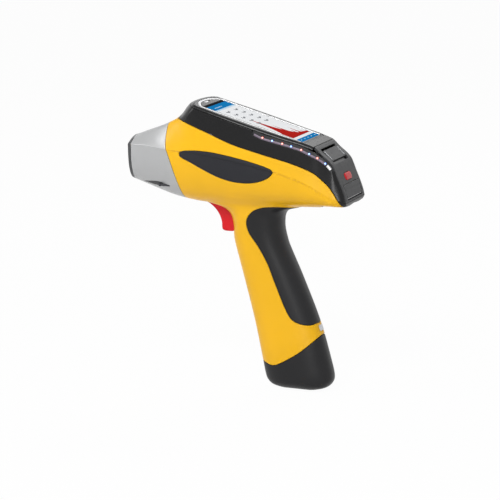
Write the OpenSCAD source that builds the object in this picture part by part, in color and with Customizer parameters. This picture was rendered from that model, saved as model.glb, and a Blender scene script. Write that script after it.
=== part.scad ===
// Handheld X-ray fluorescence analyzer, in millimetres.
// Origin: centre of the measuring face. The nose points to -X, the handle hangs to -Z.

/* [Body] */
// Length from the measuring face to the rear of the body
body_l = 260; // [250:1:270]
// Full width of the body at its widest
body_w = 88; // [84:1:94]
// Height of the front of the display above the measuring axis
display_z = 68; // [66:1:72]
// Depth of the belly below the measuring axis
belly_d = 45; // [44:0.5:48]
// Depth of the battery base below the measuring axis
grip_d = 247; // [240:1:256]
// Wall of the mouldings
wall = 2.6; // [2.2:0.1:3]
// Gap at a seam between two mouldings
seam = 0.5; // [0.3:0.1:0.7]
// Step between the upper band and the belly
crease_step = 1.2; // [0.6:0.1:1.6]
// Gap between an inner piece and what carries it
seat = 0.1; // [0.05:0.05:0.2]

/* [Nose] */
// Thickness of the front plate
plate_t = 4; // [3.5:0.1:5]
// Radius of the measuring window
window_r = 8; // [6:0.5:9]
// Thickness of the window film and its carrier ring
film_t = 0.6; // [0.4:0.1:1]
// Tilt of the X-ray tube below the measuring axis
tube_tilt = 16; // [15:1:17]
// Radius of the X-ray tube
tube_r = 12; // [11:0.5:12.5]
// Length of the X-ray tube
tube_l = 60; // [52:1:64]
// Tilt of the detector above the measuring axis
detector_tilt = 26; // [26:1:28]
// Radius of the detector can
detector_r = 7.5; // [6.5:0.5:7.5]

/* [Display] */
// Slope of the display towards the rear
screen_tilt = 15.4; // [15:0.1:16]
// Thickness of the silver bezel
bezel_t = 2.6; // [2.2:0.1:3]
// Width of the display window
window_w = 56; // [50:1:58]
// Length of the display window
window_l = 122; // [110:1:124]
// Thickness of the display glass
glass_t = 1.4; // [1:0.1:1.6]

/* [Rear panel] */
// Thickness of the rear panel
panel_t = 2.4; // [2:0.1:2.6]
// Full width of the rear panel
panel_w = 60; // [58:0.5:61]
// Width of the rim beside the rear panel
rim_w = 1.7; // [1.4:0.1:2]
// Length of the power button
button_l = 18; // [15:0.5:20]
// Travel of the power button
button_travel = 1.2; // [0.8:0.1:1.5]
// Length of the display latch
latch_l = 42; // [38:0.5:44]
// Travel of the display latch
latch_travel = 3; // [2:0.5:3.5]
// Length of the port cover
cover_l = 46; // [40:1:48]
// Height of the port cover
cover_h = 16; // [14:0.5:17]

/* [Trigger] */
// Full width of the trigger
trigger_w = 18; // [16:0.5:19]
// Radius of the trigger pin
pin_r = 1.5; // [1.2:0.1:2]
// Radial running clearance of a pivot
run = 0.05; // [0.03:0.01:0.08]
// Travel of the trigger in degrees
trigger_deg = 8; // [4:1:9]

/* [Battery] */
// Radius of a battery cell
cell_r = 9.2; // [9:0.1:9.3]
// Length of a battery cell
cell_l = 65; // [60:1:66]
// Tilt of the battery well from the vertical
well_tilt = 19; // [18:0.5:20]

/* [Hidden] */
$fn = 36;

// ---------- smooth outlines through a few points ----------

function seg(t, p, i = 0) = (i >= len(p) - 2 || t < p[i + 1][0]) ? i : seg(t, p, i + 1);
function rise(p, i) = let (a = max(i - 1, 0), b = min(i + 1, len(p) - 1))
    (p[b][1] - p[a][1]) / (p[b][0] - p[a][0]);
function blend(u, a, b, ma, mb) = (2 * u^3 - 3 * u^2 + 1) * a + (u^3 - 2 * u^2 + u) * ma
    + (3 * u^2 - 2 * u^3) * b + (u^3 - u^2) * mb;
function curve(t, p) = let (
        q = min(max(t, p[0][0]), p[len(p) - 1][0]), i = seg(q, p),
        h = p[i + 1][0] - p[i][0], u = (q - p[i][0]) / h
    ) blend(u, p[i][1], p[i + 1][1], rise(p, i) * h, rise(p, i + 1) * h);
function soft(points, steps) = let (n = len(points)) [
    for (i = [0 : n - 2], k = [0 : steps - 1]) let (
        u = k / steps, a = points[max(i - 1, 0)], b = points[i],
        c = points[i + 1], d = points[min(i + 2, n - 1)]
    ) [for (j = [0, 1]) blend(u, b[j], c[j], (c[j] - a[j]) / 2, (d[j] - b[j]) / 2)],
    points[n - 1]
];

// Shares of the body length against shares of a height, depth or half width.
FRONT_EDGE = .304;
fall = tan(screen_tilt) * body_l / display_z;
function display_line(u) = 1 - fall * (u - FRONT_EDGE);
rear_share = (panel_w + 2 * rim_w) / body_w;
TOP = [[0, .353], [.027, .39], [.081, .47], [.138, .551], [.192, .64], [.215, .69], [.238, .78],
    [.258, .89], [.277, .965], [FRONT_EDGE, 1],
    for (u = [.338, .5, .7, .854]) [u, display_line(u)],
    [.885, .318], [.938, .14], [.9615, -.059], [.992, -.324], [1, -.456]];
BELLY = [[0, .54], [.09, .69], [.2, .87], [.27, .945], [.35, .99], [.5, 1], [.77, .935],
    [.94, .87], [.98, .84], [1, .8]];
HALF = [[0, .5], [.04, .58], [.115, .727], [.2, .85], [.308, .943], [.46, 1], [.65, 1],
    [.81, .943], [.92, rear_share + .143], [.98, rear_share + .086], [1, rear_share + .049]];
TOP_HALF = [[0, .32], [.115, .455], [.2, .6], [.254, .73], [.308, .8], [.48, .875],
    [.65, .864], [.854, rear_share + .039], [.94, rear_share + .029], [1, rear_share]];
CREASE = [[0, .38], [.115, .4], [.2, .36], [.385, .31], [.527, .2], [.646, .07], [.727, -.04],
    [.83, -.24], [.91, -.49], [.954, -.62], [1, -.73]];
WAIST = [[.19, .73], [.25, .72], [.38, .574], [.504, .404], [.638, .272], [.762, .154],
    [.862, .015], [.908, -.118], [.931, -.2], [.958, -.34], [.98, -.5], [1, -.68]];
NOSE_EDGE = [[-1.1, .345], [-.87, .32], [-.67, .285], [-.42, .258], [-.07, .231], [.22, .212],
    [.4, .2], [.69, .192], [1.2, .197]];
GRIP_FRONT = [[.12, .35], [.17, .34], [.19, .4], [.2, .423], [.22, .446], [.245, .4575],
    [.28, .463], [.32, .463], [.36, .47], [.5, .506], [.7, .556], [.89, .596], [.94, .606],
    [.965, .615], [.985, .636], [1, .68]];
GRIP_REAR = [[.12, .76], [.17, .77], [.19, .715], [.2, .697], [.22, .684], [.245, .68],
    [.28, .681], [.32, .69], [.36, .703], [.5, .766], [.7, .846], [.89, .9], [.94, .909],
    [.965, .902], [.985, .882], [1, .84]];
GRIP_HALF = [[.12, .74], [.15, .655], [.17, .6], [.2, .565], [.24, .547], [.32, .525],
    [.5, .5], [.7, .49], [.9, .51], [.96, .5], [.985, .46], [1, .38]];

function top_z(x) = display_z * curve(x / body_l, TOP);
function belly_z(x) = -belly_d * curve(x / body_l, BELLY);
function half_w(x) = body_w / 2 * curve(x / body_l, HALF);
function top_half(x) = body_w / 2 * curve(x / body_l, TOP_HALF);
function crease_z(x) = belly_d * curve(x / body_l, CREASE);
function waist_z(x) = display_z * curve(x / body_l, WAIST);
function nose_x(z) = body_l * curve(z / belly_d, NOSE_EDGE);
function step_at(x) = max(.05, crease_step * min(max((x / body_l - .2) * 25, 0), 1)
    * min(max((.98 - x / body_l) * 12, 0), 1));
function front_x(z) = body_l * curve(-z / grip_d, GRIP_FRONT);
function rear_x(z) = body_l * curve(-z / grip_d, GRIP_REAR);
function grip_half(z) = body_w / 2 * curve(-z / grip_d, GRIP_HALF);

// ---------- lofts: convex rings joined in pairs ----------

STATIONS = [0, .015, .08, .138, .192, .215, .238, .258, .277, .304, .42, .52, .64, .76,
    .854, .885, .912, .938, .95, .9615, .976, .992, 1];
LEVELS = [.12, .15, .165, .178, .19, .2, .22, .25, .29, .36, .46, .62, .8, .9, .94, .965, .985, 1];
ROUGH_STATIONS = [0, .08, .192, .238, .304, .5, .78, .87, .9615, 1];
ROUGH_LEVELS = [.13, .165, .19, .22, .28, .4, .61, .84, .94, 1];

// Half of a ring from the keel to the crown, as [y, z]: the whole ring, the belly or the upper band.
WHOLE = 0;
BELLY_PART = 1;
BAND_PART = 2;
function body_half(x, d, part) = let (
        s = part == BAND_PART ? 0 : step_at(x),
        w = half_w(x) - d - s, t = min(top_half(x) - d, w), zt = top_z(x) - d,
        zb = belly_z(x) + d, zc = min(max(crease_z(x), zb + 1), zt - 1),
        r = min(3.5, (zt - zc) / 2), k = min(2, (zt - zc) / 2),
        step = d < 1 ? 15 : 22.5,
        belly = [for (a = [0 : step : 90]) [w * sin(a)^.75, zc - (zc - zb) * cos(a)^.75]],
        crown = [[t, zt - r], [t - .3 * r, zt - .3 * r], [t - r, zt]]
    ) part == WHOLE ? concat(belly, crown)
    : part == BELLY_PART ? concat(belly, [[t - k, zc + k]])
    : concat([[w - 3, zc - .4], [w, zc]], crown);
function body_ring(u, d, part) = let (
        x = u * body_l, h = body_half(x, d, part), at = x + d * (1 - 2 * u), n = len(h)
    ) [
        for (p = h) [at, p[0], p[1]],
        for (i = [n - 1 : -1 : 0]) [at, -h[i][0], h[i][1]]
    ];
function grip_ring(v, d) = let (
        z = -v * grip_d, a = (rear_x(z) - front_x(z)) / 2 - d, b = grip_half(z) - d,
        c = (rear_x(z) + front_x(z)) / 2, low = v > .5 ? d * (v - .5) * 2 : 0
    ) [
        for (k = [0 : 17.5]) let (q = k * 20, e = .85)
            [c + a * sign(cos(q)) * abs(cos(q))^e, b * sign(sin(q)) * abs(sin(q))^e, z + low]
    ];
module link(a, b) {
    points = concat(a, b);
    hull() polyhedron(points, [[for (i = [0 : len(points) - 1]) i]]);
}
module body_loft(d, part, at = STATIONS) {
    for (i = [0 : len(at) - 2]) link(body_ring(at[i], d, part), body_ring(at[i + 1], d, part));
}
module grip_loft(d, at = LEVELS) {
    for (i = [0 : len(at) - 2]) link(grip_ring(at[i], d), grip_ring(at[i + 1], d));
}
// Inside of the mouldings, with fewer rings.
module hollow(d) {
    body_loft(d, WHOLE, ROUGH_STATIONS);
    grip_loft(d, ROUGH_LEVELS);
}

// A flat outline in the side view, drawn through the whole width or part of it.
module side(points, y0 = -60, y1 = 60) {
    translate([0, y1, 0]) rotate([90, 0, 0]) linear_extrude(y1 - y0) polygon(points);
}
FAR = 900;
function waist_line(g) = [for (u = [.19 : .0303 : 1.01]) [u * body_l, waist_z(u * body_l) + g]];
module above_waist(g) {
    side(concat(waist_line(g), [[FAR, waist_z(body_l) + g], [FAR, FAR], [.19 * body_l, FAR]]));
}
module behind_nose(g) {
    side(concat([for (k = [-1.1 : .1 : 1.2]) [nose_x(k * belly_d) + g, k * belly_d]],
        [[nose_x(1.2 * belly_d) + g, FAR], [FAR, FAR], [FAR, -FAR],
        [nose_x(-1.1 * belly_d) + g, -FAR]]));
}
// Outer form of nose, barrel and display housing, drawn in by d.
module body_form(d) {
    if (d < 1) {
        body_loft(d, BELLY_PART);
        body_loft(d, BAND_PART);
    } else {
        body_loft(d, WHOLE);
    }
}

// ---------- outlines of the pads, the grip rubber and the battery base ----------

LEAF = [[.27, .18], [.275, .265], [.323, .335], [.392, .31], [.46, .29], [.527, .2], [.592, .13],
    [.646, .065], [.684, -.02], [.69, -.075], [.677, -.18], [.646, -.245], [.6, -.33],
    [.546, -.356], [.492, -.31], [.43, -.22], [.369, -.067], [.312, .09], [.27, .18]];
RUBBER = [[.79, -.182], [.762, -.176], [.73, -.173], [.696, -.171], [.66, -.172], [.619, -.177],
    [.577, -.196], [.553, -.225], [.546, -.255], [.558, -.296], [.592, -.344], [.619, -.389],
    [.642, -.433], [.665, -.494], [.692, -.563], [.719, -.627], [.746, -.672], [.785, -.692],
    [.831, -.696], [.881, -.672], [.95, -.65]];
BASE = [[.55, -.87], [.627, -.887], [.658, -.891], [.685, -.883], [.727, -.858], [.769, -.83],
    [.808, -.798], [.838, -.769], [.881, -.729], [.96, -.69]];
function placed(p, h) = [for (q = p) [q[0] * body_l, q[1] * h]];
function grown(points, c, g) = [for (p = points) p + g * (p - c) / norm(p - c)];
module leaf(g, y0, y1) {
    side(grown(soft(placed(LEAF, belly_d), 2), [.49 * body_l, -.02 * belly_d], g), y0, y1);
}
module rubber_zone(g) {
    outline = concat(soft(placed(RUBBER, grip_d), 2), [[1.2 * body_l, -.66 * grip_d],
        [1.2 * body_l, -.3 * grip_d], [.83 * body_l, -.23 * grip_d]]);
    side(grown(outline, [.76 * body_l, -.42 * grip_d], g));
}
module base_zone(g) {
    side(concat([for (p = soft(placed(BASE, grip_d), 2)) p + [0, g]],
        [[1.2 * body_l, -.69 * grip_d], [1.2 * body_l, -1.3 * grip_d], [.4 * body_l, -1.3 * grip_d],
        [.4 * body_l, -.87 * grip_d + g]]));
}

// ---------- working frames ----------

// Origin at the front edge of the display; X runs down the slope, Z stands off the glass.
module on_screen() {
    translate([FRONT_EDGE * body_l, 0, display_z]) rotate([0, screen_tilt, 0]) children();
}
// Rear panel: the upper facet and the steep lower facet; Z stands off the panel.
upper_at = [.905 * body_l, 0, .262 * display_z];
upper_tilt = 42;
lower_tilt = 67;
button_at = [.9655 * body_l, 0, -.085 * display_z];
cover_tilt = 71;
tail_z = -.688 * belly_d;
cover_z = tail_z + cover_h / 2 * sin(cover_tilt) + 3;
function outline_x(z, a = .9, b = 1, n = 16) = n == 0 ? (a + b) / 2 * body_l
    : top_z((a + b) / 2 * body_l) > z ? outline_x(z, (a + b) / 2, b, n - 1)
    : outline_x(z, a, (a + b) / 2, n - 1);
cover_inset = .55;
cover_at = [outline_x(cover_z) - cover_inset, 0, cover_z];
module on_upper() {
    translate(upper_at) rotate([0, upper_tilt, 0]) children();
}
module on_button() {
    translate(button_at) rotate([0, lower_tilt, 0]) children();
}
module on_cover() {
    translate(cover_at) rotate([0, cover_tilt, 0]) children();
}
// Z runs from the measuring window along the tube or along the detector.
module on_tube() {
    rotate([0, 90 + tube_tilt, 0]) children();
}
module on_detector() {
    rotate([0, 90 - detector_tilt, 0]) children();
}
// Battery well: origin at the top of the well, Z points up along it.
well_at = [.603 * body_l, 0, -.398 * grip_d];
module on_well() {
    translate(well_at) rotate([0, -well_tilt, 0]) children();
}
// A block by its centre, a round bar across the body, and a plate with rounded corners.
module box(size, at = [0, 0, 0]) {
    translate(at - size / 2) cube(size);
}
module rod(r, l, at = [0, 0, 0]) {
    translate(at) rotate([90, 0, 0]) cylinder(r = r, h = l, center = true);
}
module rounded(size, r) {
    linear_extrude(size[2]) square([size[0] - 2 * r, size[1]], center = true);
    linear_extrude(size[2]) square([size[0], size[1] - 2 * r], center = true);
    for (x = [-1, 1], y = [-1, 1])
        translate([x * (size[0] / 2 - r), y * (size[1] / 2 - r), 0]) cylinder(r = r, h = size[2]);
}

// ---------- housings ----------

rubber_t = wall - .4;
panel_x = .858 * body_l;
trigger_at = [.381 * body_l, 0, -.15 * grip_d];
deck_t = 2.5;

// Centre of the display window, z above the bezel.
window_x = 14;
module on_window(z) {
    on_screen() translate([window_x + window_l / 2, 0, z]) children();
}
module bezel_slab(low, high) {
    on_screen() box([.7 * body_l, 200, high - low], [.24 * body_l, 0, (high + low) / 2]);
}
module panel_zone(g) {
    intersection() {
        box([FAR, panel_w + 2 * g, FAR], [panel_x - g + FAR / 2, 0, tail_z - g + FAR / 2]);
        above_waist(0);
        difference() {
            body_form(-1);
            body_form(panel_t + g);
        }
    }
}
module leaf_recess(g) {
    for (s = [-1, 1]) difference() {
        leaf(g, min(s * 60, 0), max(s * 60, 0));
        body_form(1.5 + g / 2);
    }
}
module oval_zone(g) {
    translate([.877 * body_l, 0, 0]) linear_extrude(200, center = true)
        polygon([for (a = [0 : 15 : 345]) [(14 + g) * cos(a), (9 + g) * sin(a)]]);
}
module trigger_slot() {
    side([[.34, -.12], [.34, -.2], [.42, -.33], [.492, -.33], [.492, -.12]] * [[body_l, 0], [0, grip_d]],
        -trigger_w / 2 - seam, trigger_w / 2 + seam);
}
// Everything a shell half is cut from: full form, drawn in under the grip rubber.
module shell_solid() {
    body_form(0);
    difference() {
        grip_loft(0);
        rubber_zone(seam);
    }
    grip_loft(rubber_t + seat);
}
module shell_cavity() {
    difference() {
        hollow(wall);
        rubber_zone(seam + wall);
        difference() {
            leaf(wall, -60, 60);
            body_form(wall + 1.6);
        }
        oval_zone(wall);
    }
    hollow(rubber_t + seat + wall);
    on_well() box([2 * well_x, 2 * well_y, 2 * FAR], [0, 0, -FAR]);
}
boss_r = 3.4;
screw_r = 1.4;
screw_l = 16;
head_r = 2.6;
head_t = 2;
head_y = 6;
BOSSES = [[.285, .5, 1], [.615, -.73, 1], [.88, -.5, 1], [.503, -.385, 0], [.579, -.668, 0]];
function boss(b) = [b[0] * body_l, 0, b[1] * (b[2] == 1 ? belly_d : grip_d)];
well_x = 2 * cell_r + 2.4;
well_y = cell_r + 2.8;
shelf_t = 4;
CARRIERS = [[.43, -.506], [.71, -.506]];
module shell(s) {
    $fn = 12;
    difference() {
        intersection() {
            box([FAR, 100, FAR * 2], [150, s * 50, 0]);
            union() {
                difference() {
                    shell_solid();
                    shell_cavity();
                }
                intersection() {
                    union() {
                        body_form(wall / 2);
                        difference() {
                            grip_loft(wall / 2);
                            rubber_zone(seam + wall / 2);
                        }
                        grip_loft(rubber_t + seat + wall / 2);
                    }
                    union() {
                        for (b = BOSSES) rod(boss_r, 200, boss(b));
                        for (c = CARRIERS) difference() {
                            rod(4, 200, [c[0] * body_l, 0, c[1] * belly_d]);
                            box([60, 2 * chassis_y + 2 * seat, 60], [c[0] * body_l, 0, c[1] * belly_d]);
                        }
                        on_well() box([2 * well_x + 2.4, 100, shelf_t], [0, 0, shelf_t]);
                    }
                }
            }
        }
        above_waist(-seam / 2);
        difference() {
            box([FAR, FAR, FAR], [nose_x(0) - FAR / 2 + 60, 0, 0]);
            behind_nose(seam / 2);
        }
        base_zone(seam);
        leaf_recess(seam / 2);
        panel_zone(seam / 2);
        trigger_slot();
        port_bay(seat);
        difference() {
            oval_zone(seam / 2);
            body_form(1.2);
            box([FAR, FAR, FAR], [0, 0, FAR / 2 - .5 * belly_d]);
        }
        for (b = BOSSES) {
            rod(screw_r + seat, 60, boss(b) + [0, 29 - screw_l / 2, 0]);
            rod(head_r + seat, 100, boss(b) + [0, head_y + 50 - seat, 0]);
        }
        on_well() box([30 + 2 * seat, 16 + 2 * seat, 8], [0, 0, 4]);
        on_latch() box([14, catch_w + 2 * run, catch_h + 2 * run], [-3, 0, 0]);
    }
}
module left_shell() color("gold") shell(-1);
module right_shell() color("gold") shell(1);
module shell_screws() color("silver") {
    $fn = 12;
    for (b = BOSSES) {
        rod(screw_r, screw_l, boss(b));
        rod(head_r, head_t, boss(b) + [0, head_y + head_t / 2 + .01, 0]);
    }
}

// ---------- nose ----------

pocket_at = [.165 * body_l, .66 * body_w / 2, -.56 * belly_d];
module nose_cone() color("silver") difference() {
    intersection() {
        body_form(0);
        box([FAR, FAR, FAR], [plate_t + .2 + FAR / 2, 0, 0]);
    }
    difference() {
        body_loft(wall, WHOLE, ROUGH_STATIONS);
        box([3, FAR, FAR], [.115 * body_l, 0, 0]);
        for (s = [-1, 1]) translate([.14 * body_l, s * pocket_at[1], pocket_at[2]])
            rotate([0, 90, 0]) cylinder(r = 5, h = 18, $fn = 12);
    }
    behind_nose(-seam / 2);
    block_envelope(seat);
    on_tube() translate([0, pinion_y, wheel_d]) cylinder(r = motor_r + seat, h = 20);
    for (s = [-1, 1]) hull() {
        translate([.1 * body_l, s * (half_w(.1 * body_l) - 3), pocket_at[2] + 3]) sphere(r = .6, $fn = 8);
        translate([pocket_at[0] - 3, s * (pocket_at[1] + 3), pocket_at[2]]) sphere(r = 2.6, $fn = 12);
        translate([pocket_at[0], s * (pocket_at[1] + 1), pocket_at[2]]) rotate([0, 90, 0])
            cylinder(r = head_r, h = .1, $fn = 12);
    }
    for (s = [-1, 1]) translate([pocket_at[0], s * pocket_at[1], pocket_at[2]]) rotate([0, 90, 0])
        cylinder(r = screw_r + seat, h = 30, $fn = 12);
}
module nose_screws() color("dimgray") for (s = [-1, 1])
    translate([pocket_at[0], s * pocket_at[1], pocket_at[2]]) rotate([0, 90, 0]) {
        $fn = 12;
        translate([0, 0, -1]) cylinder(r = screw_r, h = 12);
        translate([0, 0, -1.5 - seat]) cylinder(r = 2, h = 1.5);
    }
module ring_prism(u, d, x0, x1) {
    translate([x0, 0, 0]) rotate([90, 0, 90]) linear_extrude(x1 - x0)
        polygon([for (p = body_ring(u, d, 0)) [p[1], p[2]]]);
}
module front_plate() color("dimgray") difference() {
    union() {
        ring_prism(0, .6, 0, 1);
        ring_prism(0, 0, .99, plate_t);
    }
    translate([-1, 0, 0]) rotate([0, 90, 0]) cylinder(r = window_r + seat, h = film_t + seat + 1);
    rotate([0, 90, 0]) cylinder(r = window_r - 2, h = 20);
}
module window_film() color("khaki") rotate([0, 90, 0]) cylinder(r = window_r, h = film_t);

// ---------- measuring head ----------

block_l = .154 * body_l;
module block_envelope(g) {
    intersection() {
        side([[plate_t + .4 - g, -14 - g], [plate_t + .4 - g, 17 + g], [block_l + g, 31 + g],
            [block_l + g, -28 - g]]);
        linear_extrude(100, center = true) polygon([[plate_t + .4 - g, -15 - g], [plate_t + .4 - g, 15 + g],
            [block_l + g, 28 + g], [block_l + g, -28 - g]]);
        rotate([90, 0, 90]) linear_extrude(100) polygon([[-12 - g, -28 - g], [12 + g, -28 - g],
            [17 + g, -20], [24 + g, -8], [27 + g, 0], [27 + g, 10], [12 + g, 31 + g], [-12 - g, 31 + g],
            [-27 - g, 10], [-27 - g, 0], [-24 - g, -8], [-17 - g, -20]]);
    }
}
wheel_d = 26;
wheel_t = 1.2;
wheel_teeth = 36;
pinion_teeth = 12;
tooth = .54;
wheel_r = wheel_teeth * tooth / 2;
pinion_r = pinion_teeth * tooth / 2;
hole_ring = 6.5;
pinion_y = hole_ring + wheel_r + pinion_r + .2;
tube_d = 30;
module measuring_block() color("lightgray") difference() {
    block_envelope(0);
    on_tube() {
        cylinder(r = 2.4, h = wheel_d, $fn = 12);
        translate([0, 0, tube_d]) cylinder(r = tube_r + run, h = 60);
        cylinder(r = 3, h = tube_d + 1, $fn = 12);
        difference() {
            translate([-13, -5.5, wheel_d - .4]) cube([26, 60, wheel_t + .8]);
            translate([0, hole_ring, wheel_d - 1]) cylinder(r = 1.5, h = 4, $fn = 24);
        }
        translate([0, pinion_y, wheel_d + wheel_t + .4]) cylinder(r = motor_r + seat, h = 60);
    }
    on_detector() {
        cylinder(r = 2.5, h = 40, $fn = 12);
        translate([0, 0, tube_d]) cylinder(r = detector_r + run, h = 60);
    }
    rotate([0, 90, 0]) cylinder(r = window_r - 2, h = 9);
}
// Involute-like spur outline with flat flanks.
module gear(n, phase) {
    pitch = n * tooth / 2;
    polygon([for (i = [0 : n - 1], k = [[-.36, -.55], [-.16, .45], [.16, .45], [.36, -.55]])
        let (a = (i + k[0] + phase) * 360 / n, r = pitch + k[1] * tooth) [r * cos(a), r * sin(a)]]);
}
module filter_wheel() color("goldenrod") on_tube() translate([0, hole_ring, wheel_d]) difference() {
    linear_extrude(wheel_t) gear(wheel_teeth, 0);
    translate([0, 0, -1]) cylinder(r = 1.5 + run, h = 4);
    for (i = [0 : 5]) rotate(i * 60) translate([0, -hole_ring, -1]) cylinder(r = 2.3, h = 4, $fn = 12);
}
shaft_r = .75;
motor_r = 4;
module filter_pinion() color("goldenrod") on_tube() translate([0, pinion_y, wheel_d]) {
    linear_extrude(wheel_t) gear(pinion_teeth, .5);
    cylinder(r = shaft_r, h = 12);
}
module filter_motor() color("gray") on_tube() translate([0, pinion_y, wheel_d + wheel_t + .5]) difference() {
    cylinder(r = motor_r, h = 14);
    translate([0, 0, -1]) cylinder(r = shaft_r + run, h = 13);
}
module xray_tube() color("silver") on_tube() translate([0, 0, tube_d + .1]) cylinder(r = tube_r, h = tube_l);
boot_grip = 8;
boot_back = 7;
boot_t = 1.6;
module tube_boot() color("dimgray") on_tube() translate([0, 0, tube_d + tube_l - boot_grip]) difference() {
    $fn = 12;
    flat = 1 / cos(180 / $fn);
    cylinder(r = (tube_r + boot_t) * flat, h = boot_grip + boot_back);
    translate([0, 0, -1]) cylinder(r = (tube_r + seat) * flat, h = boot_grip + 1.1 + seat);
}
module detector() color("silver") on_detector() translate([0, 0, tube_d + .1])
    cylinder(r = detector_r, h = 26);
module preamp_board() color("green") on_detector() box([20, 22, 1.6], [0, 0, tube_d + 26.1 + seat + .8]);

// ---------- electronics ----------

chassis_y = 24;
chassis_z = -.506 * belly_d;
chassis_t = 2.5;
cheek_t = 2.4;
module chassis() color("lightgray") difference() {
    union() {
        box([.37 * body_l, 2 * chassis_y, chassis_t], [.57 * body_l, 0, chassis_z]);
        for (s = [-1, 1]) translate([0, s * (trigger_w / 2 + 1 + cheek_t / 2), 0])
            side([[trigger_at[0] - 6.4, trigger_at[2] - 2], [trigger_at[0] + 7, trigger_at[2] - 2],
                [trigger_at[0] + 16, chassis_z + 1], [trigger_at[0] - 1, chassis_z + 1],
                [trigger_at[0] - 6.4, trigger_at[2] + 4]], -cheek_t / 2, cheek_t / 2);
        translate([switch_x[1] + seat, -6, switch_z[0]]) cube([2.5, 12, chassis_z - switch_z[0]]);
    }
    rod(pin_r, 60, trigger_at);
    for (x = [-1, 1], y = [-1, 1]) translate([.57 * body_l + x * 40, y * 17, chassis_z - 5])
        cylinder(r = 1.3, h = 10, $fn = 12);
}
hv_size = [66, 40, 24];
hv_socket = 4;
hv_x = (tube_d + tube_l + boot_back) * cos(tube_tilt) + (tube_r + boot_t) * sin(tube_tilt)
    + hv_socket + 3.8;
module hv_supply() color("slategray") translate([hv_x, 0, chassis_z + chassis_t / 2 + seat]) {
    box(hv_size, [hv_size[0] / 2, 0, hv_size[2] / 2]);
    translate([.1, 0, hv_size[2] / 2]) rotate([0, -90, 0]) cylinder(r = 5, h = hv_socket + .1);
}
board_n = -15;
module main_board() color("darkgreen") on_screen() difference() {
    box([116, 62, 1.6], [74, 0, board_n]);
    for (x = [22, 126], y = [-28, 28]) translate([x, y, board_n - 3]) cylinder(r = 1.2, h = 6, $fn = 12);
}
module processor_cover() color("silver") on_screen()
    box([44, 34, 4], [70, 0, board_n - .8 - seat - 2]);
module lcd_panel() color("darkslategray") on_screen()
    box([window_l - 4, window_w - 1, 4.6], [window_x + window_l / 2, 0, -bezel_t - seat - 2.3]);
module display_glass() color("black") on_window(-glass_t - .3)
    rounded([window_l - .4, window_w - .4, glass_t], 3);
module speaker() color("dimgray") on_screen() box([7, 20, 4], [6.5, 0, -bezel_t - seat - 2]);

module display_bezel() color("gainsboro") difference() {
    $fn = 24;
    intersection() {
        body_form(0);
        bezel_slab(-bezel_t, 30);
        box([FAR, FAR, FAR], [panel_x - seam / 2 - FAR / 2, 0, 0]);
    }
    on_window(-glass_t - .3 - seat) rounded([window_l, window_w, 20], 3);
    on_window(-10) rounded([window_l - 4, window_w - 4, 20], 3);
    on_screen() translate([6.5, 0, -10]) rounded([2.4, 13, 20], 1);
}
// Line of the side lights: share of the length and drop below the edge of the display.
LIGHT_DROP = [[.606, .097], [.642, .114], [.684, .11], [.727, .102], [.765, .099], [.808, .101],
    [.842, .123], [.877, .146], [.911, .191], [.94, .27]];
LIGHTS = [for (p = LIGHT_DROP) [p[0], display_line(p[0]) - p[1]]];
function light_line(g) = let (p = soft(placed(LIGHTS, display_z), 2), n = len(p)) [
    for (i = [0 : n - 1]) let (d = p[min(i + 1, n - 1)] - p[max(i - 1, 0)])
        p[i] + g * [-d[1], d[0]] / norm(d)
];
module light_zone(g, s) {
    low = light_line(-2 - g);
    near = panel_w / 2 + 1.2 - g;
    side(concat(light_line(2 + g), [for (i = [len(low) - 1 : -1 : 0]) low[i]]),
        min(s * near, s * 60), max(s * near, s * 60));
}
module top_housing() color("dimgray") difference() {
    intersection() {
        body_form(0);
        above_waist(seam / 2);
        box([FAR, FAR, FAR], [.218 * body_l + FAR / 2, 0, 0]);
    }
    bezel_slab(-bezel_t - .15, 50);
    difference() {
        intersection() {
            body_loft(wall, WHOLE, ROUGH_STATIONS);
            union() {
                bezel_slab(-FAR / 4, -bezel_t - deck_t);
                box([FAR, FAR, FAR], [.9 * body_l + FAR / 2, 0, 0]);
                box([FAR, FAR, FAR], [0, 0, -FAR / 2]);
            }
        }
        on_screen() for (x = [22, 126], y = [-1, 1]) translate([x, y * 30.8, board_n + .8 + seat])
            cylinder(r = 2.2, h = 20, $fn = 12);
        difference() {
            box([FAR, panel_w + 4, FAR], [panel_x - 3 + FAR / 2, 0, 0]);
            body_form(panel_t + seat + wall);
        }
        for (s = [-1, 1]) difference() {
            light_zone(wall, s);
            body_form(2.6 + wall);
        }
    }
    panel_zone(seat);
    for (s = [-1, 1]) difference() {
        light_zone(.2, s);
        body_form(2.6);
    }
    on_screen() box([window_l - 3.6, window_w - .6, 30], [window_x + window_l / 2, 0, -10]);
    on_screen() box([7.4, 20.4, 20], [6.5, 0, -8]);
    on_upper() box([20, latch_l - 6, 20], [0, 0, -2]);
    on_button() box([8.8, button_l + .8, 40]);
    port_bay(seat);
}

// ---------- rear panel ----------

latch_h = 15;
button_h = 8;
module rear_panel() color("dimgray") difference() {
    $fn = 24;
    intersection() {
        box([FAR, panel_w, FAR], [panel_x + FAR / 2, 0, tail_z + FAR / 2]);
        above_waist(seam / 2);
        difference() {
            body_form(0);
            body_form(panel_t);
        }
    }
    on_upper() box([latch_h + latch_travel + .6, latch_l + .6, 20], [latch_travel / 2, 0, 0]);
    on_button() translate([0, 0, -10]) rounded([button_h + .6, button_l + .6, 20], 3.2);
    on_cover() box([cover_h + .6, cover_l + .6, 20], [0, 0, 0]);
    on_cover() box([2.4, cover_l + 5, 2.6], [cover_h / 2 - 1.2, 0, -1.3]);
}
module display_latch() color("darkslategray") on_upper() difference() {
    $fn = 12;
    translate([0, 0, -panel_t + .1]) rounded([latch_h, latch_l, panel_t - .1], 1);
    for (x = [-4, 4]) translate([x, 0, -1.2]) rounded([2.6, latch_l - 10, 3], 1.2);
}
button_t = 5.2;
button_proud = 1;
switch_t = 7;
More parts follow.
